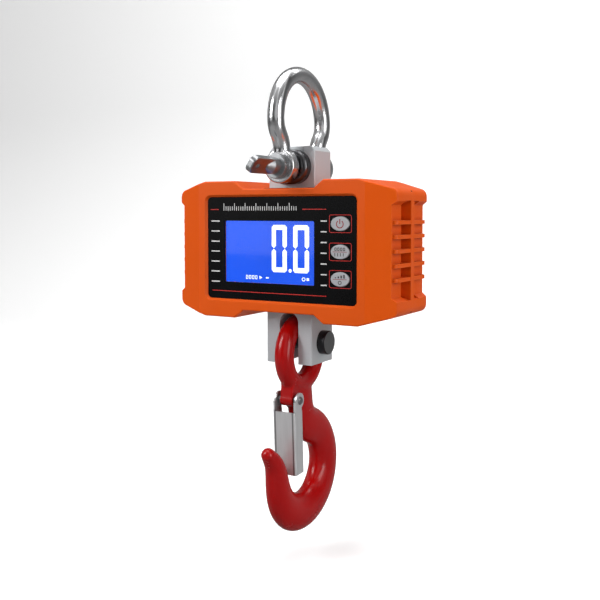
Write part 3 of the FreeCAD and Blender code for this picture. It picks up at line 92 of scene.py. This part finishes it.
# The room, in metres, and the camera.
FLOOR_HALF = 4.0
FLOOR_DROP = 0.02
SWEEP_START = 0.9
SWEEP_RADIUS = 0.6
SWEEP_STEPS = 12
SOFT_BOXES = 5              # tall ones round the studio
BOX_ROWS = 7.0
CAMERA_AZIMUTH = math.radians(30.0)
CAMERA_ELEVATION = math.radians(2.5)
CAMERA_DISTANCE = 0.6733
FOCAL_LENGTH = 51.4
VIEW_SHIFT = -0.085

# Places read from the frame.
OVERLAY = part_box("panel_overlay")
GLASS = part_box("lcd_glass")
BUTTONS = {name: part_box(name) for name in ("power_button", "hold_button", "zero_button")}
PANEL_FACE = OVERLAY[0].y
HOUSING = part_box("front_housing")
MIDDLE_Z = (HOUSING[0].z + HOUSING[1].z) / 2


# ---------------------------------------------------------------- materials

class Surface:
    """One node material: a Principled shader, and short calls that add texture, painted shade and
    painted highlights to it.
    """

    def __init__(self, name, colour, roughness=0.5, metallic=0.0, **sockets):
        self.mat = bpy.data.materials.new(name)
        self.mat.use_nodes = True
        self.nodes = self.mat.node_tree.nodes
        self.links = self.mat.node_tree.links
        self.shader = self.nodes["Principled BSDF"]
        self.colour = tuple(colour) + (1.0,)
        self.shader.inputs["Base Color"].default_value = self.colour
        self.shader.inputs["Roughness"].default_value = roughness
        self.shader.inputs["Metallic"].default_value = metallic
        for key, value in sockets.items():
            self.shader.inputs[key.replace("_", " ")].default_value = value
        self.mat.diffuse_color = self.colour

    def node(self, kind, **settings):
        made = self.nodes.new(kind)
        for key, value in settings.items():
            setattr(made, key, value)
        return made

    def place(self, stretch=(1, 1, 1)):
        """Object coordinates, so a texture keeps its place and scale on the part as it moves."""
        where = self.node("ShaderNodeTexCoord")
        scaled = self.node("ShaderNodeMapping")
        scaled.inputs["Scale"].default_value = stretch
        self.links.new(where.outputs["Object"], scaled.inputs["Vector"])
        return scaled.outputs["Vector"]

    def noise(self, scale, detail=3.0, roughness=0.55, stretch=(1, 1, 1)):
        made = self.node("ShaderNodeTexNoise")
        made.inputs["Scale"].default_value = scale
        made.inputs["Detail"].default_value = detail
        made.inputs["Roughness"].default_value = roughness
        self.links.new(self.place(stretch), made.inputs["Vector"])
        return made.outputs["Fac"]

    def spread(self, value, low, high, start=0.3, end=0.7):
        """Carry a 0..1 value to the range low..high."""
        made = self.node("ShaderNodeMapRange", clamp=True)
        for key, number in (("From Min", start), ("From Max", end), ("To Min", low), ("To Max", high)):
            made.inputs[key].default_value = number
        self.links.new(value, made.inputs["Value"])
        return made.outputs["Result"]

    def tint(self, factor, other):
        """Mix the colour it has with another by the factor."""
        mix = self.node("ShaderNodeMix", data_type="RGBA")
        old = self.shader.inputs["Base Color"]
        if old.is_linked:
            self.links.new(old.links[0].from_socket, mix.inputs["A"])
        else:
            mix.inputs["A"].default_value = self.colour
        mix.inputs["B"].default_value = tuple(other) + (1.0,)
        self.links.new(factor, mix.inputs["Factor"])
        self.links.new(mix.outputs["Result"], old)
        return self

    def rough(self, value):
        self.links.new(value, self.shader.inputs["Roughness"])
        return self

    def bump(self, height, strength, distance):
        made = self.node("ShaderNodeBump")
        made.inputs["Strength"].default_value = strength
        made.inputs["Distance"].default_value = distance
        self.links.new(height, made.inputs["Height"])
        old = self.shader.inputs["Normal"]
        if old.is_linked:
            self.links.new(old.links[0].from_socket, made.inputs["Normal"])
        self.links.new(made.outputs["Normal"], old)
        return self

    def edges(self, radius, most):
        """Most along the outer edges, 0 on flat faces: the bevelled normal against the plain one, used
        as the mask of a painted edge highlight.
        """
        bevel = self.node("ShaderNodeBevel", samples=4)
        bevel.inputs["Radius"].default_value = radius
        plain = self.node("ShaderNodeNewGeometry")
        dot = self.node("ShaderNodeVectorMath", operation="DOT_PRODUCT")
        self.links.new(bevel.outputs["Normal"], dot.inputs[0])
        self.links.new(plain.outputs["Normal"], dot.inputs[1])
        away = self.node("ShaderNodeMath", operation="SUBTRACT")
        away.inputs[0].default_value = 1.0
        self.links.new(dot.outputs["Value"], away.inputs[1])
        return self.spread(away.outputs["Value"], 0.0, most, 0.02, 0.25)

    def corner_shade(self, most=1.0):
        """Painted shade from ambient occlusion: 0 on open faces, rising to most down in the corners and
        recesses.
        """
        made = self.node("ShaderNodeAmbientOcclusion", samples=6, only_local=True)
        made.inputs["Distance"].default_value = 4 * MM
        return self.spread(made.outputs["AO"], most, 0.0, 0.45, 0.95)


def painted_housing():
    s = Surface("housing_orange", (0.80, 0.098, 0.003), 0.42, Specular_IOR_Level=0.18)
    s.tint(s.spread(s.noise(26, 4), 0.0, 0.18), (0.68, 0.078, 0.002))
    # painted shade: darker orange down in the recesses and corners
    s.tint(s.corner_shade(0.55), (0.30, 0.025, 0.001))
    s.tint(s.spread(s.noise(900, 2), 0.0, 0.10), (0.90, 0.14, 0.006))
    # painted highlight: lighter orange along the edges
    s.tint(s.edges(0.9 * MM, 0.35), (0.95, 0.22, 0.04))
    s.rough(s.spread(s.noise(60, 4), 0.36, 0.5))
    s.bump(s.noise(1100, 2, 0.6), 0.22, 0.06 * MM)
    s.bump(s.noise(160, 2), 0.10, 0.12 * MM)
    return s.mat


def enamelled_hook():
    s = Surface("hook_red", (0.44, 0.0012, 0.0015), 0.2, Specular_IOR_Level=0.32)
    s.tint(s.spread(s.noise(30, 4), 0.0, 0.30), (0.32, 0.001, 0.0012))
    s.tint(s.spread(s.noise(260, 3), 0.0, 0.16, 0.5, 0.8), (0.58, 0.003, 0.003))
    s.rough(s.spread(s.noise(70, 4), 0.17, 0.28))
    s.bump(s.noise(60, 2), 0.10, 0.4 * MM)
    s.bump(s.noise(600, 2), 0.10, GRAIN_DEPTH)
    return s.mat


def polished_bow():
    s = Surface("polished_steel", (0.66, 0.66, 0.67), 0.2, 1.0)
    s.tint(s.spread(s.noise(40, 3), 0.0, 0.25), (0.52, 0.53, 0.55))
    s.rough(s.spread(s.noise(120, 4), 0.15, 0.27))
    s.bump(s.noise(220, 3), 0.06, 0.1 * MM)
    return s.mat


def turned(name, colour, roughness, scale=600):
    """Machined or plated metal with a fine grain."""
    s = Surface(name, colour, roughness, 1.0)
    darker = tuple(c * 0.7 for c in colour)
    s.tint(s.spread(s.noise(scale, 3, 0.6), 0.0, 0.4), darker)
    s.tint(s.spread(s.noise(35, 3), 0.0, 0.3), darker)
    s.rough(s.spread(s.noise(90, 3), roughness * 0.8, min(1.0, roughness * 1.25)))
    s.bump(s.noise(scale, 2, 0.6), 0.15, GRAIN_DEPTH)
    return s.mat


def blasted_cell():
    s = Surface("cell_grey", (0.57, 0.60, 0.625), 0.42, 0.2)
    s.tint(s.spread(s.noise(1500, 2), 0.0, 0.35), (0.48, 0.505, 0.53))
    s.tint(s.spread(s.noise(22, 3), 0.0, 0.22), (0.52, 0.52, 0.53))
    # painted shade: near black down in the slot and the corners
    s.tint(s.corner_shade(), (0.05, 0.05, 0.052))
    # painted highlight: lighter grey along the edges
    s.tint(s.edges(0.7 * MM, 0.5), (0.85, 0.86, 0.87))
    s.rough(s.spread(s.noise(80, 3), 0.36, 0.52))
    s.bump(s.noise(1600, 2), 0.25, 0.04 * MM)
    return s.mat


def pressed_latch():
    """Brushed along its length, with a painted shade line inside each folded edge, painted highlights
    along its edges and painted shade in its corners.
    """
    s = Surface("latch_zinc", (0.72, 0.72, 0.73), 0.32, 0.55)
    along = (1, 1, 0.05)
    s.tint(s.spread(s.noise(500, 3, 0.6, along), 0.0, 0.4), (0.56, 0.56, 0.57))
    # painted highlight: lighter zinc along the edges
    s.tint(s.edges(0.5 * MM, 0.5), (0.85, 0.85, 0.86))
    # painted shade: dark grey down in the corners
    s.tint(s.corner_shade(), (0.10, 0.10, 0.105))
    # painted shade: a dark band about 7 to 8.7 mm either side of the middle, inside each fold
    apart = s.node("ShaderNodeSeparateXYZ")
    s.links.new(s.place(), apart.inputs["Vector"])
    side = s.node("ShaderNodeMath", operation="ABSOLUTE")
    s.links.new(apart.outputs["X"], side.inputs[0])
    fold_shade = s.node("ShaderNodeMath", operation="MULTIPLY")
    s.links.new(s.spread(side.outputs["Value"], 0.0, 0.8, 6.9 * MM, 7.5 * MM), fold_shade.inputs[0])
    s.links.new(s.spread(side.outputs["Value"], 1.0, 0.0, 8.1 * MM, 8.7 * MM), fold_shade.inputs[1])
    s.tint(fold_shade.outputs["Value"], (0.07, 0.07, 0.075))
    s.rough(s.spread(s.noise(60, 3), 0.28, 0.44))
    s.bump(s.noise(500, 2, 0.6, along), 0.12, GRAIN_DEPTH)
    return s.mat


def blacked_pin():
    """Blackened pin, with a painted highlight: its end face turned to +X is painted a lighter grey."""
    s = Surface("hook_pin_steel", (0.045, 0.045, 0.048), 0.34, 1.0)
    s.tint(s.spread(s.noise(500, 3), 0.0, 0.4), (0.03, 0.03, 0.032))
    # painted highlight on the faces turned to +X
    where = s.node("ShaderNodeTexCoord")
    facing = s.node("ShaderNodeSeparateXYZ")
    s.links.new(where.outputs["Normal"], facing.inputs["Vector"])
    s.tint(s.spread(facing.outputs["X"], 0.0, 0.9, 0.9, 0.99), (0.26, 0.26, 0.265))
    s.rough(s.spread(s.noise(90, 3), 0.28, 0.42))
    s.bump(s.noise(700, 2), 0.12, GRAIN_DEPTH)
    return s.mat


def moulded(name, colour, roughness=0.5, grain=0.12):
    """Moulded plastic or rubber: fine spark-eroded grain and a slight mottle."""
    s = Surface(name, colour, roughness)
    lighter = tuple(min(1.0, c * 1.35 + 0.004) for c in colour)
    s.tint(s.spread(s.noise(40, 3), 0.0, 0.25), lighter)
    s.rough(s.spread(s.noise(90, 3), roughness * 0.88, min(1.0, roughness * 1.12)))
    s.bump(s.noise(1400, 2), grain, GRAIN_DEPTH)
    return s.mat


def black_overlay():
    s = Surface("panel_black", (0.002, 0.002, 0.0022), 0.2, Specular_IOR_Level=0.12)
    s.tint(s.spread(s.noise(900, 2), 0.0, 0.5), (0.006, 0.006, 0.007))
    s.rough(s.spread(s.noise(30, 3), 0.2, 0.3))
    s.bump(s.noise(300, 2), 0.04, GRAIN_DEPTH)
    return s.mat


def clear_lens():
    s = Surface("lens_clear", (1.0, 1.0, 1.0), 0.03, Transmission_Weight=1.0, IOR=1.49)
    s.rough(s.spread(s.noise(60, 3), 0.02, 0.05))
    return s.mat


def lit_display():
    """Blue glass that glows, lighter towards the left, with its glow slightly uneven."""
    s = Surface("display_blue", (0.001, 0.008, 0.15), 0.25, Specular_IOR_Level=0.1)
    across = s.node("ShaderNodeSeparateXYZ")
    s.links.new(s.place(), across.inputs["Vector"])
    glow = s.node("ShaderNodeMix", data_type="RGBA")
    glow.inputs["A"].default_value = (0.006, 0.110, 0.98, 1.0)
    glow.inputs["B"].default_value = (0.014, 0.110, 0.92, 1.0)
    s.links.new(s.spread(across.outputs["X"], 0.0, 1.0, GLASS[0].x, GLASS[1].x), glow.inputs["Factor"])
    s.links.new(glow.outputs["Result"], s.shader.inputs["Emission Color"])
    s.links.new(s.spread(s.noise(14, 2), 0.85, 1.05), s.shader.inputs["Emission Strength"])
    return s.mat


def lit_segment():
    s = Surface("segment_white", (0.85, 0.9, 1.0), 0.3, Emission_Color=(0.86, 0.93, 1.0, 1.0))
    s.links.new(s.spread(s.noise(500, 2), 1.0, 1.25), s.shader.inputs["Emission Strength"])
    return s.mat


def printed(name, colour):
    """Screen-printed ink: slightly uneven."""
    roughness = 0.35
    s = Surface(name, colour, roughness)
    darker = tuple(c * 0.8 for c in colour)
    s.tint(s.spread(s.noise(700, 2), 0.0, 0.5), darker)
    s.rough(s.spread(s.noise(200, 2), roughness * 0.8, roughness * 1.2))
    return s.mat


def circuit_board():
    s = Surface("board_green", (0.006, 0.12, 0.035), 0.3, Coat_Weight=0.3)
    traces = s.node("ShaderNodeTexBrick", offset=0.5)
    for key, value in (("Scale", 300.0), ("Mortar Size", 0.05)):
        traces.inputs[key].default_value = value
    s.links.new(s.place(), traces.inputs["Vector"])
    s.tint(s.spread(traces.outputs["Fac"], 0.0, 0.5, 0.2, 0.8), (0.02, 0.24, 0.07))
    s.bump(traces.outputs["Fac"], 0.2, GRAIN_DEPTH)
    return s.mat


def gauge_film():
    s = Surface("gauge_gold", (0.52, 0.27, 0.05), 0.4)
    grid = s.node("ShaderNodeTexWave", wave_type="BANDS")
    grid.inputs["Scale"].default_value = 900.0
    s.links.new(s.place(), grid.inputs["Vector"])
    s.tint(s.spread(grid.outputs["Fac"], 0.0, 0.7), (0.75, 0.62, 0.42))
    return s.mat


def set_material(material, *names):
    for name in names:
        slots = NODES[name].data.materials
        slots.clear()
        slots.append(material)


def dress_nodes():
    """The listed nodes get their materials; several nodes share one."""
    set_material(painted_housing(), "front_housing", "rear_housing", "battery_cover")
    set_material(enamelled_hook(), "hook")
    set_material(polished_bow(), "shackle_bow")
    set_material(turned("dark_steel", (0.12, 0.12, 0.125), 0.28), "shackle_bushes")
    set_material(blacked_pin(), "hook_pin")
    set_material(turned("pin_steel", (0.40, 0.41, 0.42), 0.36, 900), "shackle_pin", "hook_pin_clip")
    set_material(blasted_cell(), "load_cell")
    set_material(pressed_latch(), "latch")
    set_material(turned("rivet_steel", (0.30, 0.30, 0.31), 0.35), "latch_pin", "latch_springs")
    set_material(turned("screw_black", (0.05, 0.05, 0.055), 0.4), "housing_screws", "cover_screws")
    set_material(turned("screw_steel", (0.55, 0.55, 0.55), 0.3), "board_screws", "bracket_screws")
    set_material(moulded("seal_rubber", (0.012, 0.012, 0.013), 0.75, 0.3),
                 "housing_gasket", "top_seal", "bottom_seal", "cover_seal")
    set_material(black_overlay(), "panel_overlay")
    set_material(clear_lens(), "display_lens")
    set_material(lit_display(), "lcd_glass")
    set_material(moulded("backlight_white", (0.75, 0.8, 0.86), 0.6), "lcd_backlight")
    set_material(moulded("button_grey", (0.42, 0.43, 0.45), 0.4), *BUTTONS)
    set_material(circuit_board(), "main_board")
    set_material(moulded("chip_black", (0.012, 0.012, 0.013)),
                 "board_chips", "key_switches", "buzzer")
    set_material(moulded("socket_white", (0.72, 0.70, 0.62), 0.5), "board_sockets")
    set_material(moulded("frame_black", (0.02, 0.02, 0.021), 0.5), "lcd_frame", "battery_holder")
    set_material(gauge_film(), "strain_gauges")
    set_material(moulded("cable_grey", (0.14, 0.14, 0.15), 0.55), "gauge_cable")
    set_material(moulded("lead_red", (0.50, 0.01, 0.01), 0.5), "battery_leads")
    set_material(moulded("battery_blue", (0.02, 0.12, 0.5), 0.3), "battery_cells")
    set_material(turned("contact_nickel", (0.66, 0.62, 0.54), 0.3), "battery_contacts")
    set_material(turned("bracket_steel", (0.50, 0.50, 0.51), 0.35), "cell_bracket")
    set_material(turned("socket_nickel", (0.60, 0.58, 0.54), 0.22), "charging_socket", "socket_nut")


# ---------------------------------------------------------------- printed marks and the display

def add_object(name, data):
    made = bpy.data.objects.new(name, data)
    bpy.context.scene.collection.objects.link(made)
    return made


def add_mesh(name, mesh, material):
    """An object of one material from a bmesh, which is used up."""
    data = bpy.data.meshes.new(name)
    mesh.to_mesh(data)
    mesh.free()
    data.materials.append(material)
    return add_object(name, data)


def flat_shape(name, outlines, y, thick, material, body="scale"):
    """Thin raised print: each outline is a list of (x, z) corners in the plane of the panel."""
    mesh = bmesh.new()
    for outline in outlines:
        front = [mesh.verts.new((x, y - thick, z)) for x, z in outline]
        back = [mesh.verts.new((x, y, z)) for x, z in outline]
        mesh.faces.new(front)
        mesh.faces.new(back[::-1])
        for i in range(len(outline)):
            j = (i + 1) % len(outline)
            mesh.faces.new((front[i], back[i], back[j], front[j]))
    bmesh.ops.recalc_face_normals(mesh, faces=mesh.faces)
    piece = add_mesh(name, mesh, material)
    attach(piece, body)


def at(x, z):
    """A place on the panel in millimetres from the housing's middle, in metres."""
    return x * MM, MIDDLE_Z + z * MM


def bar(x0, x1, z0, z1):
    return [at(x, z) for x, z in ((x0, z0), (x1, z0), (x1, z1), (x0, z1))]


def on_circle(cx, cz, radius, degrees):
    turn = math.radians(degrees)
    return at(cx + radius * math.cos(turn), cz + radius * math.sin(turn))


def band(path, radius, width):
    """Four-sided pieces along a path, whose steps are (centre x, centre z, angle)."""
    inner = radius - width
    return [[on_circle(ax, az, radius, a), on_circle(bx, bz, radius, b),
             on_circle(bx, bz, inner, b), on_circle(ax, az, inner, a)]
            for (ax, az, a), (bx, bz, b) in zip(path, path[1:])]


def arc_band(cx, cz, radius, width, start, end):
    path = [(cx, cz, start + (end - start) * i / ARC_STEPS) for i in range(ARC_STEPS + 1)]
    return band(path, radius, width)


def frame_line(x0, x1, z0, z1, width, corner):
    """A rounded rectangle drawn as a thin line."""
    corners = ((x1 - corner, z1 - corner, 0), (x0 + corner, z1 - corner, 90),
               (x0 + corner, z0 + corner, 180), (x1 - corner, z0 + corner, 270))
    path = [(cx, cz, start + 90 * k / CORNER_STEPS)
            for cx, cz, start in corners for k in range(CORNER_STEPS + 1)]
    return band(path + path[:1], corner, width)


def panel_marks():
    """Ticks, a graduation in the title's place, three thin lines and a frame round each key."""
    y = PANEL_FACE + PRINT_SUNK
    white = printed("ink_white", (0.80, 0.80, 0.80))
    red = printed("ink_red", (0.62, 0.02, 0.015))
    ticks = [bar(-61.7, -53.8, z - TICK_HALF, z + TICK_HALF) for z in LEFT_TICKS]
    ticks += [bar(36.3, 41.3, z - TICK_HALF, z + TICK_HALF) for z in RIGHT_TICKS]
    flat_shape("scale_ticks", ticks, y, PANEL_PRINT, white)
    marks = []
    for i in range(GRADUATIONS):
        x = GRADUATION_START + i * GRADUATION_SPAN / (GRADUATIONS - 1)
        top = 35.8 if i % 5 == 0 else 33.4
        marks.append(bar(x - GRADUATION_HALF, x + GRADUATION_HALF, 30.2, top))
    flat_shape("title_graduation", marks, y, PANEL_PRINT, white)
    lines = [bar(-62.3, -54.7, 30.7, 31.3), bar(20.9, 40.8, 30.8, 31.4), bar(-61.0, 41.0, -32.8, -32.2)]
    flat_shape("panel_lines", lines, y, PANEL_PRINT, red)
    left, right, half_height = KEY_FRAME
    frames = []
    for z in KEY_MIDDLES.values():
        frames += frame_line(left, right, z - half_height, z + half_height, 0.45, 1.6)
    flat_shape("key_outlines", frames, y, PANEL_PRINT, red)


def zero_segments(x0, x1):
    """The six lit segments of a nought, mitred where they meet and cut off at its corners."""
    middle = (DIGIT_BOTTOM + DIGIT_TOP) / 2
    mitre = CORNER_CUT / 2 + SEGMENT_GAP
    inside = STROKE + SEGMENT_GAP

    def level(outer, inward):
        near = outer + inward * CORNER_CUT / 2
        far = outer + inward * STROKE
        return [(x0 + CORNER_CUT, outer), (x1 - CORNER_CUT, outer), (x1 - mitre, near),
                (x1 - inside, far), (x0 + inside, far), (x0 + mitre, near)]

    def upright(outer, inner, end, inward):
        corner = outer + (inner - outer) * CORNER_CUT / (2 * STROKE)
        waist = middle - inward * SEGMENT_GAP
        return [(outer, end + inward * CORNER_CUT), (corner, end + inward * mitre),
                (inner, end + inward * inside), (inner, waist - inward * STROKE / 2),
                ((inner + outer) / 2, waist), (outer, waist - inward * STROKE / 2)]

    left = (x0, x0 + STROKE)
    right = (x1, x1 - STROKE)
    shapes = (level(DIGIT_TOP, -1), upright(*right, DIGIT_TOP, -1), upright(*right, DIGIT_BOTTOM, 1),
              level(DIGIT_BOTTOM, 1), upright(*left, DIGIT_BOTTOM, 1), upright(*left, DIGIT_TOP, -1))
    return [[at(x, z) for x, z in shape] for shape in shapes]


def display_digits():
    """The reading 0.0, and a row of plain signs under it."""
    y = GLASS[0].y
    lit = lit_segment()
    digits = []
    for x0, x1 in DIGIT_SIDES:
        digits += zero_segments(x0, x1)
    digits.append([on_circle(*POINT, a) for a in range(0, 360, 30)])
    flat_shape("display_digits", digits, y, FINE_PRINT, lit)
    signs = []
    for x in (-31.0, -28.2, -25.4, -22.6):
        signs += frame_line(x, x + 2.0, -22.6, -19.6, 0.5, 0.55)
    signs += [[at(-18.6, -22.4), at(-16.0, -21.1), at(-18.6, -19.8)], bar(-12.8, -10.2, -21.6, -20.6)]
    signs += arc_band(20.4, -21.1, 1.5, 0.5, 0, 360) + [bar(23.0, 25.0, -22.1, -20.1)]
    flat_shape("display_signs", signs, y, FINE_PRINT, lit)


def key_icons():
    """A power sign on the top key and rows of plain blocks on the other two."""
    red = printed("key_red", (0.30, 0.012, 0.015))
    black = printed("key_black", (0.03, 0.02, 0.02))
    x = KEY_X

    def on_key(name, part, outlines, ink):
        y = BUTTONS[name + "_button"][0].y + PRINT_SUNK
        flat_shape(name + part, outlines, y, FINE_PRINT, ink, name + "_key")

    power = arc_band(x, 20.3, 3.1, 0.75, 125, 415) + [bar(x - 0.4, x + 0.4, 20.4, 24.0)]
    on_key("power", "_sign", power, red)
    for name in ("hold", "zero"):
        z = KEY_MIDDLES[name]
        on_key(name, "_line", [bar(x - 5.6, x + 5.6, z - 0.2, z + 0.2)], red)
    hold = []
    for i in range(4):
        left = x - 4.3 + 2.3 * i
        hold += frame_line(left, left + 1.7, 0.9, 3.4, 0.5, 0.52)
        hold.append(bar(left, left + 0.55, -3.0, -0.6))
    on_key("hold", "_sign", hold, black)
    zero = arc_band(x, -22.1, 1.5, 0.55, 0, 360)
    for i in range(4):
        left = x - 4.0 + 2.3 * i
        zero.append(bar(left, left + 1.2, -18.9, -18.9 + 0.7 * (i + 1)))
    on_key("zero", "_sign", zero, black)


# ---------------------------------------------------------------- the forged hook

def keep_inside(mesh, low, high):
    """Hold every point within the CAD piece's own box."""
    for vertex in mesh.vertices:
        vertex.co = [min(max(c, a), b) for c, a, b in zip(vertex.co, low, high)]


def forged_hook():
    """The hook with the sharp creases between its eye, neck and reliefs run together, as forged."""
    source = NODES["hook"]
    low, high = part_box("hook")
    data = source.data.copy()
    data.transform(source.matrix_world)
    piece = add_object("forged_hook", data)
    remesh = piece.modifiers.new("remesh", "REMESH")
    remesh.mode = "VOXEL"
    remesh.voxel_size = VOXEL
    soften = piece.modifiers.new("soften", "SMOOTH")
    soften.factor = 0.5
    soften.iterations = SMOOTHING_ROUNDS
    graph = bpy.context.evaluated_depsgraph_get()
    smooth = bpy.data.meshes.new_from_object(piece.evaluated_get(graph))
    piece.modifiers.clear()
    piece.data = smooth
    smooth.name = "forged_hook"
    keep_inside(smooth, low, high)
    for face in smooth.polygons:
        face.use_smooth = True
    smooth.materials.clear()
    smooth.materials.append(enamelled_hook())
    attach(piece, "lower_hook")
    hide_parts("hook")


# ---------------------------------------------------------------- room, light, camera

def white_paper():
    """White to the camera and grey to the part, so that it doesn't wash out the paint."""
    paper = Surface("paper", (0.90, 0.90, 0.90), 0.9, Specular_IOR_Level=0.1, Emission_Color=WHITE)
    seen = paper.node("ShaderNodeLightPath")
    away = paper.node("ShaderNodeMath", operation="SUBTRACT")
    away.inputs[0].default_value = 1.0
    paper.links.new(seen.outputs["Is Camera Ray"], away.inputs[1])
    paper.tint(away.outputs["Value"], (0.25, 0.25, 0.25))
    glow = paper.node("ShaderNodeMath", operation="MULTIPLY")
    glow.inputs[1].default_value = 0.3
    paper.links.new(seen.outputs["Is Camera Ray"], glow.inputs[0])
    paper.links.new(glow.outputs["Value"], paper.shader.inputs["Emission Strength"])
    paper.bump(paper.noise(300, 2), 0.02, GRAIN_DEPTH)
    return paper.mat


def make_floor():
    """A flat floor that sweeps up into a backdrop behind the part."""
    mesh = bmesh.new()
    low = CAD_BOX[0].z - FLOOR_DROP
    profile = [(-FLOOR_HALF, low), (SWEEP_START, low)]
    for k in range(1, SWEEP_STEPS + 1):
        a = math.radians(90 * k / SWEEP_STEPS)
        profile.append((SWEEP_START + SWEEP_RADIUS * math.sin(a),
                        low + SWEEP_RADIUS * (1 - math.cos(a))))
    profile.append((SWEEP_START + SWEEP_RADIUS, low + FLOOR_HALF))
    rows = [[mesh.verts.new((x, y, z)) for y, z in profile] for x in (-FLOOR_HALF, FLOOR_HALF)]
    for i in range(len(profile) - 1):
        mesh.faces.new((rows[0][i], rows[1][i], rows[1][i + 1], rows[0][i + 1]))
    for face in mesh.faces:
        face.smooth = True
    floor = add_mesh("floor", mesh, white_paper())


def area_light(name, place, aim, size, power):
    light = bpy.data.lights.new(name, "AREA")
    light.shape = "RECTANGLE"
    light.size, light.size_y = size
    light.energy = power
    lamp = add_object(name, light)
    lamp.location = place
    lamp.rotation_euler = (Vector(aim) - Vector(place)).to_track_quat("-Z", "Y").to_euler()


def studio_world():
    """What the steel mirrors: a bright ceiling, and tall soft boxes with dark gaps between them."""
    world = bpy.data.worlds.new("studio")
    bpy.context.scene.world = world
    world.use_nodes = True
    nodes, links = world.node_tree.nodes, world.node_tree.links
    back = nodes["Background"]

    def maths(operation, first, second=None):
        made = nodes.new("ShaderNodeMath")
        made.operation = operation
        for socket, value in zip(made.inputs, (first, second)):
            if isinstance(value, (int, float)):
                socket.default_value = value
            elif value is not None:
                links.new(value, socket)
        return made.outputs["Value"]

    where = nodes.new("ShaderNodeTexCoord")
    split = nodes.new("ShaderNodeSeparateXYZ")
    links.new(where.outputs["Generated"], split.inputs["Vector"])
    turn = maths("ARCTAN2", split.outputs["Y"], split.outputs["X"])
    boxes = maths("SINE", maths("MULTIPLY", turn, SOFT_BOXES))
    rise = maths("SINE", maths("MULTIPLY", split.outputs["Z"], BOX_ROWS))
    pattern = maths("ADD", maths("MULTIPLY", boxes, 0.65), maths("MULTIPLY", rise, 0.45))
    ramp = nodes.new("ShaderNodeMapRange")
    ramp.interpolation_type = "SMOOTHSTEP"
    for key, number in (("From Min", -0.05), ("From Max", 0.45), ("To Min", 0.015), ("To Max", 0.62)):
        ramp.inputs[key].default_value = number
    links.new(pattern, ramp.inputs["Value"])
    overhead = nodes.new("ShaderNodeMapRange")
    for key, number in (("From Min", 0.35), ("From Max", 0.85), ("To Min", 0.0), ("To Max", 0.5)):
        overhead.inputs[key].default_value = number
    links.new(split.outputs["Z"], overhead.inputs["Value"])
    light = maths("ADD", ramp.outputs["Result"], overhead.outputs["Result"])
    seen = nodes.new("ShaderNodeLightPath")
    direct = maths("MULTIPLY", seen.outputs["Is Camera Ray"], 0.9)
    rest = maths("MULTIPLY", maths("SUBTRACT", 1.0, seen.outputs["Is Camera Ray"]), light)
    links.new(maths("ADD", direct, rest), back.inputs["Strength"])
    back.inputs["Color"].default_value = WHITE


def make_lights():
    studio_world()
    centre = (0, 0, MIDDLE_Z)
    area_light("key", (-0.66, -0.86, 0.42), centre, (0.4, 0.55), 8.0)
    area_light("side", (1.3, -0.3, 0.1), centre, (0.5, 1.1), 9.0)
    area_light("low", (0.7, -0.9, -0.75), (0, 0, MIDDLE_Z - 0.12), (0.6, 0.5), 6.0)
    area_light("top", (0.0, -0.05, 1.1), centre, (1.0, 0.7), 6)
    area_light("backdrop", (0.0, 0.7, 1.3), (-0.7, 1.5, -0.2), (2.4, 0.5), 18)


def set_colour_management():
    """Plain sRGB, so that strong paint and the lit display keep their colour."""
    bpy.context.scene.view_settings.view_transform = "Standard"
    bpy.context.scene.view_settings.look = "None"


def make_camera():
    data = bpy.data.cameras.new("camera")
    data.sensor_width = 36.0
    data.lens = FOCAL_LENGTH
    data.shift_y = VIEW_SHIFT
    camera = add_object("camera", data)
    back = Vector((math.sin(CAMERA_AZIMUTH) * math.cos(CAMERA_ELEVATION),
                   -math.cos(CAMERA_AZIMUTH) * math.cos(CAMERA_ELEVATION),
                   math.sin(CAMERA_ELEVATION)))
    camera.location = Vector((0, 0, MIDDLE_Z)) + back * CAMERA_DISTANCE
    camera.rotation_mode = "QUATERNION"
    camera.rotation_quaternion = (-back).to_track_quat("-Z", "Y")
    bpy.context.scene.camera = camera


dress_nodes()
panel_marks()
display_digits()
key_icons()
forged_hook()
make_floor()
make_lights()
set_colour_management()
make_camera()
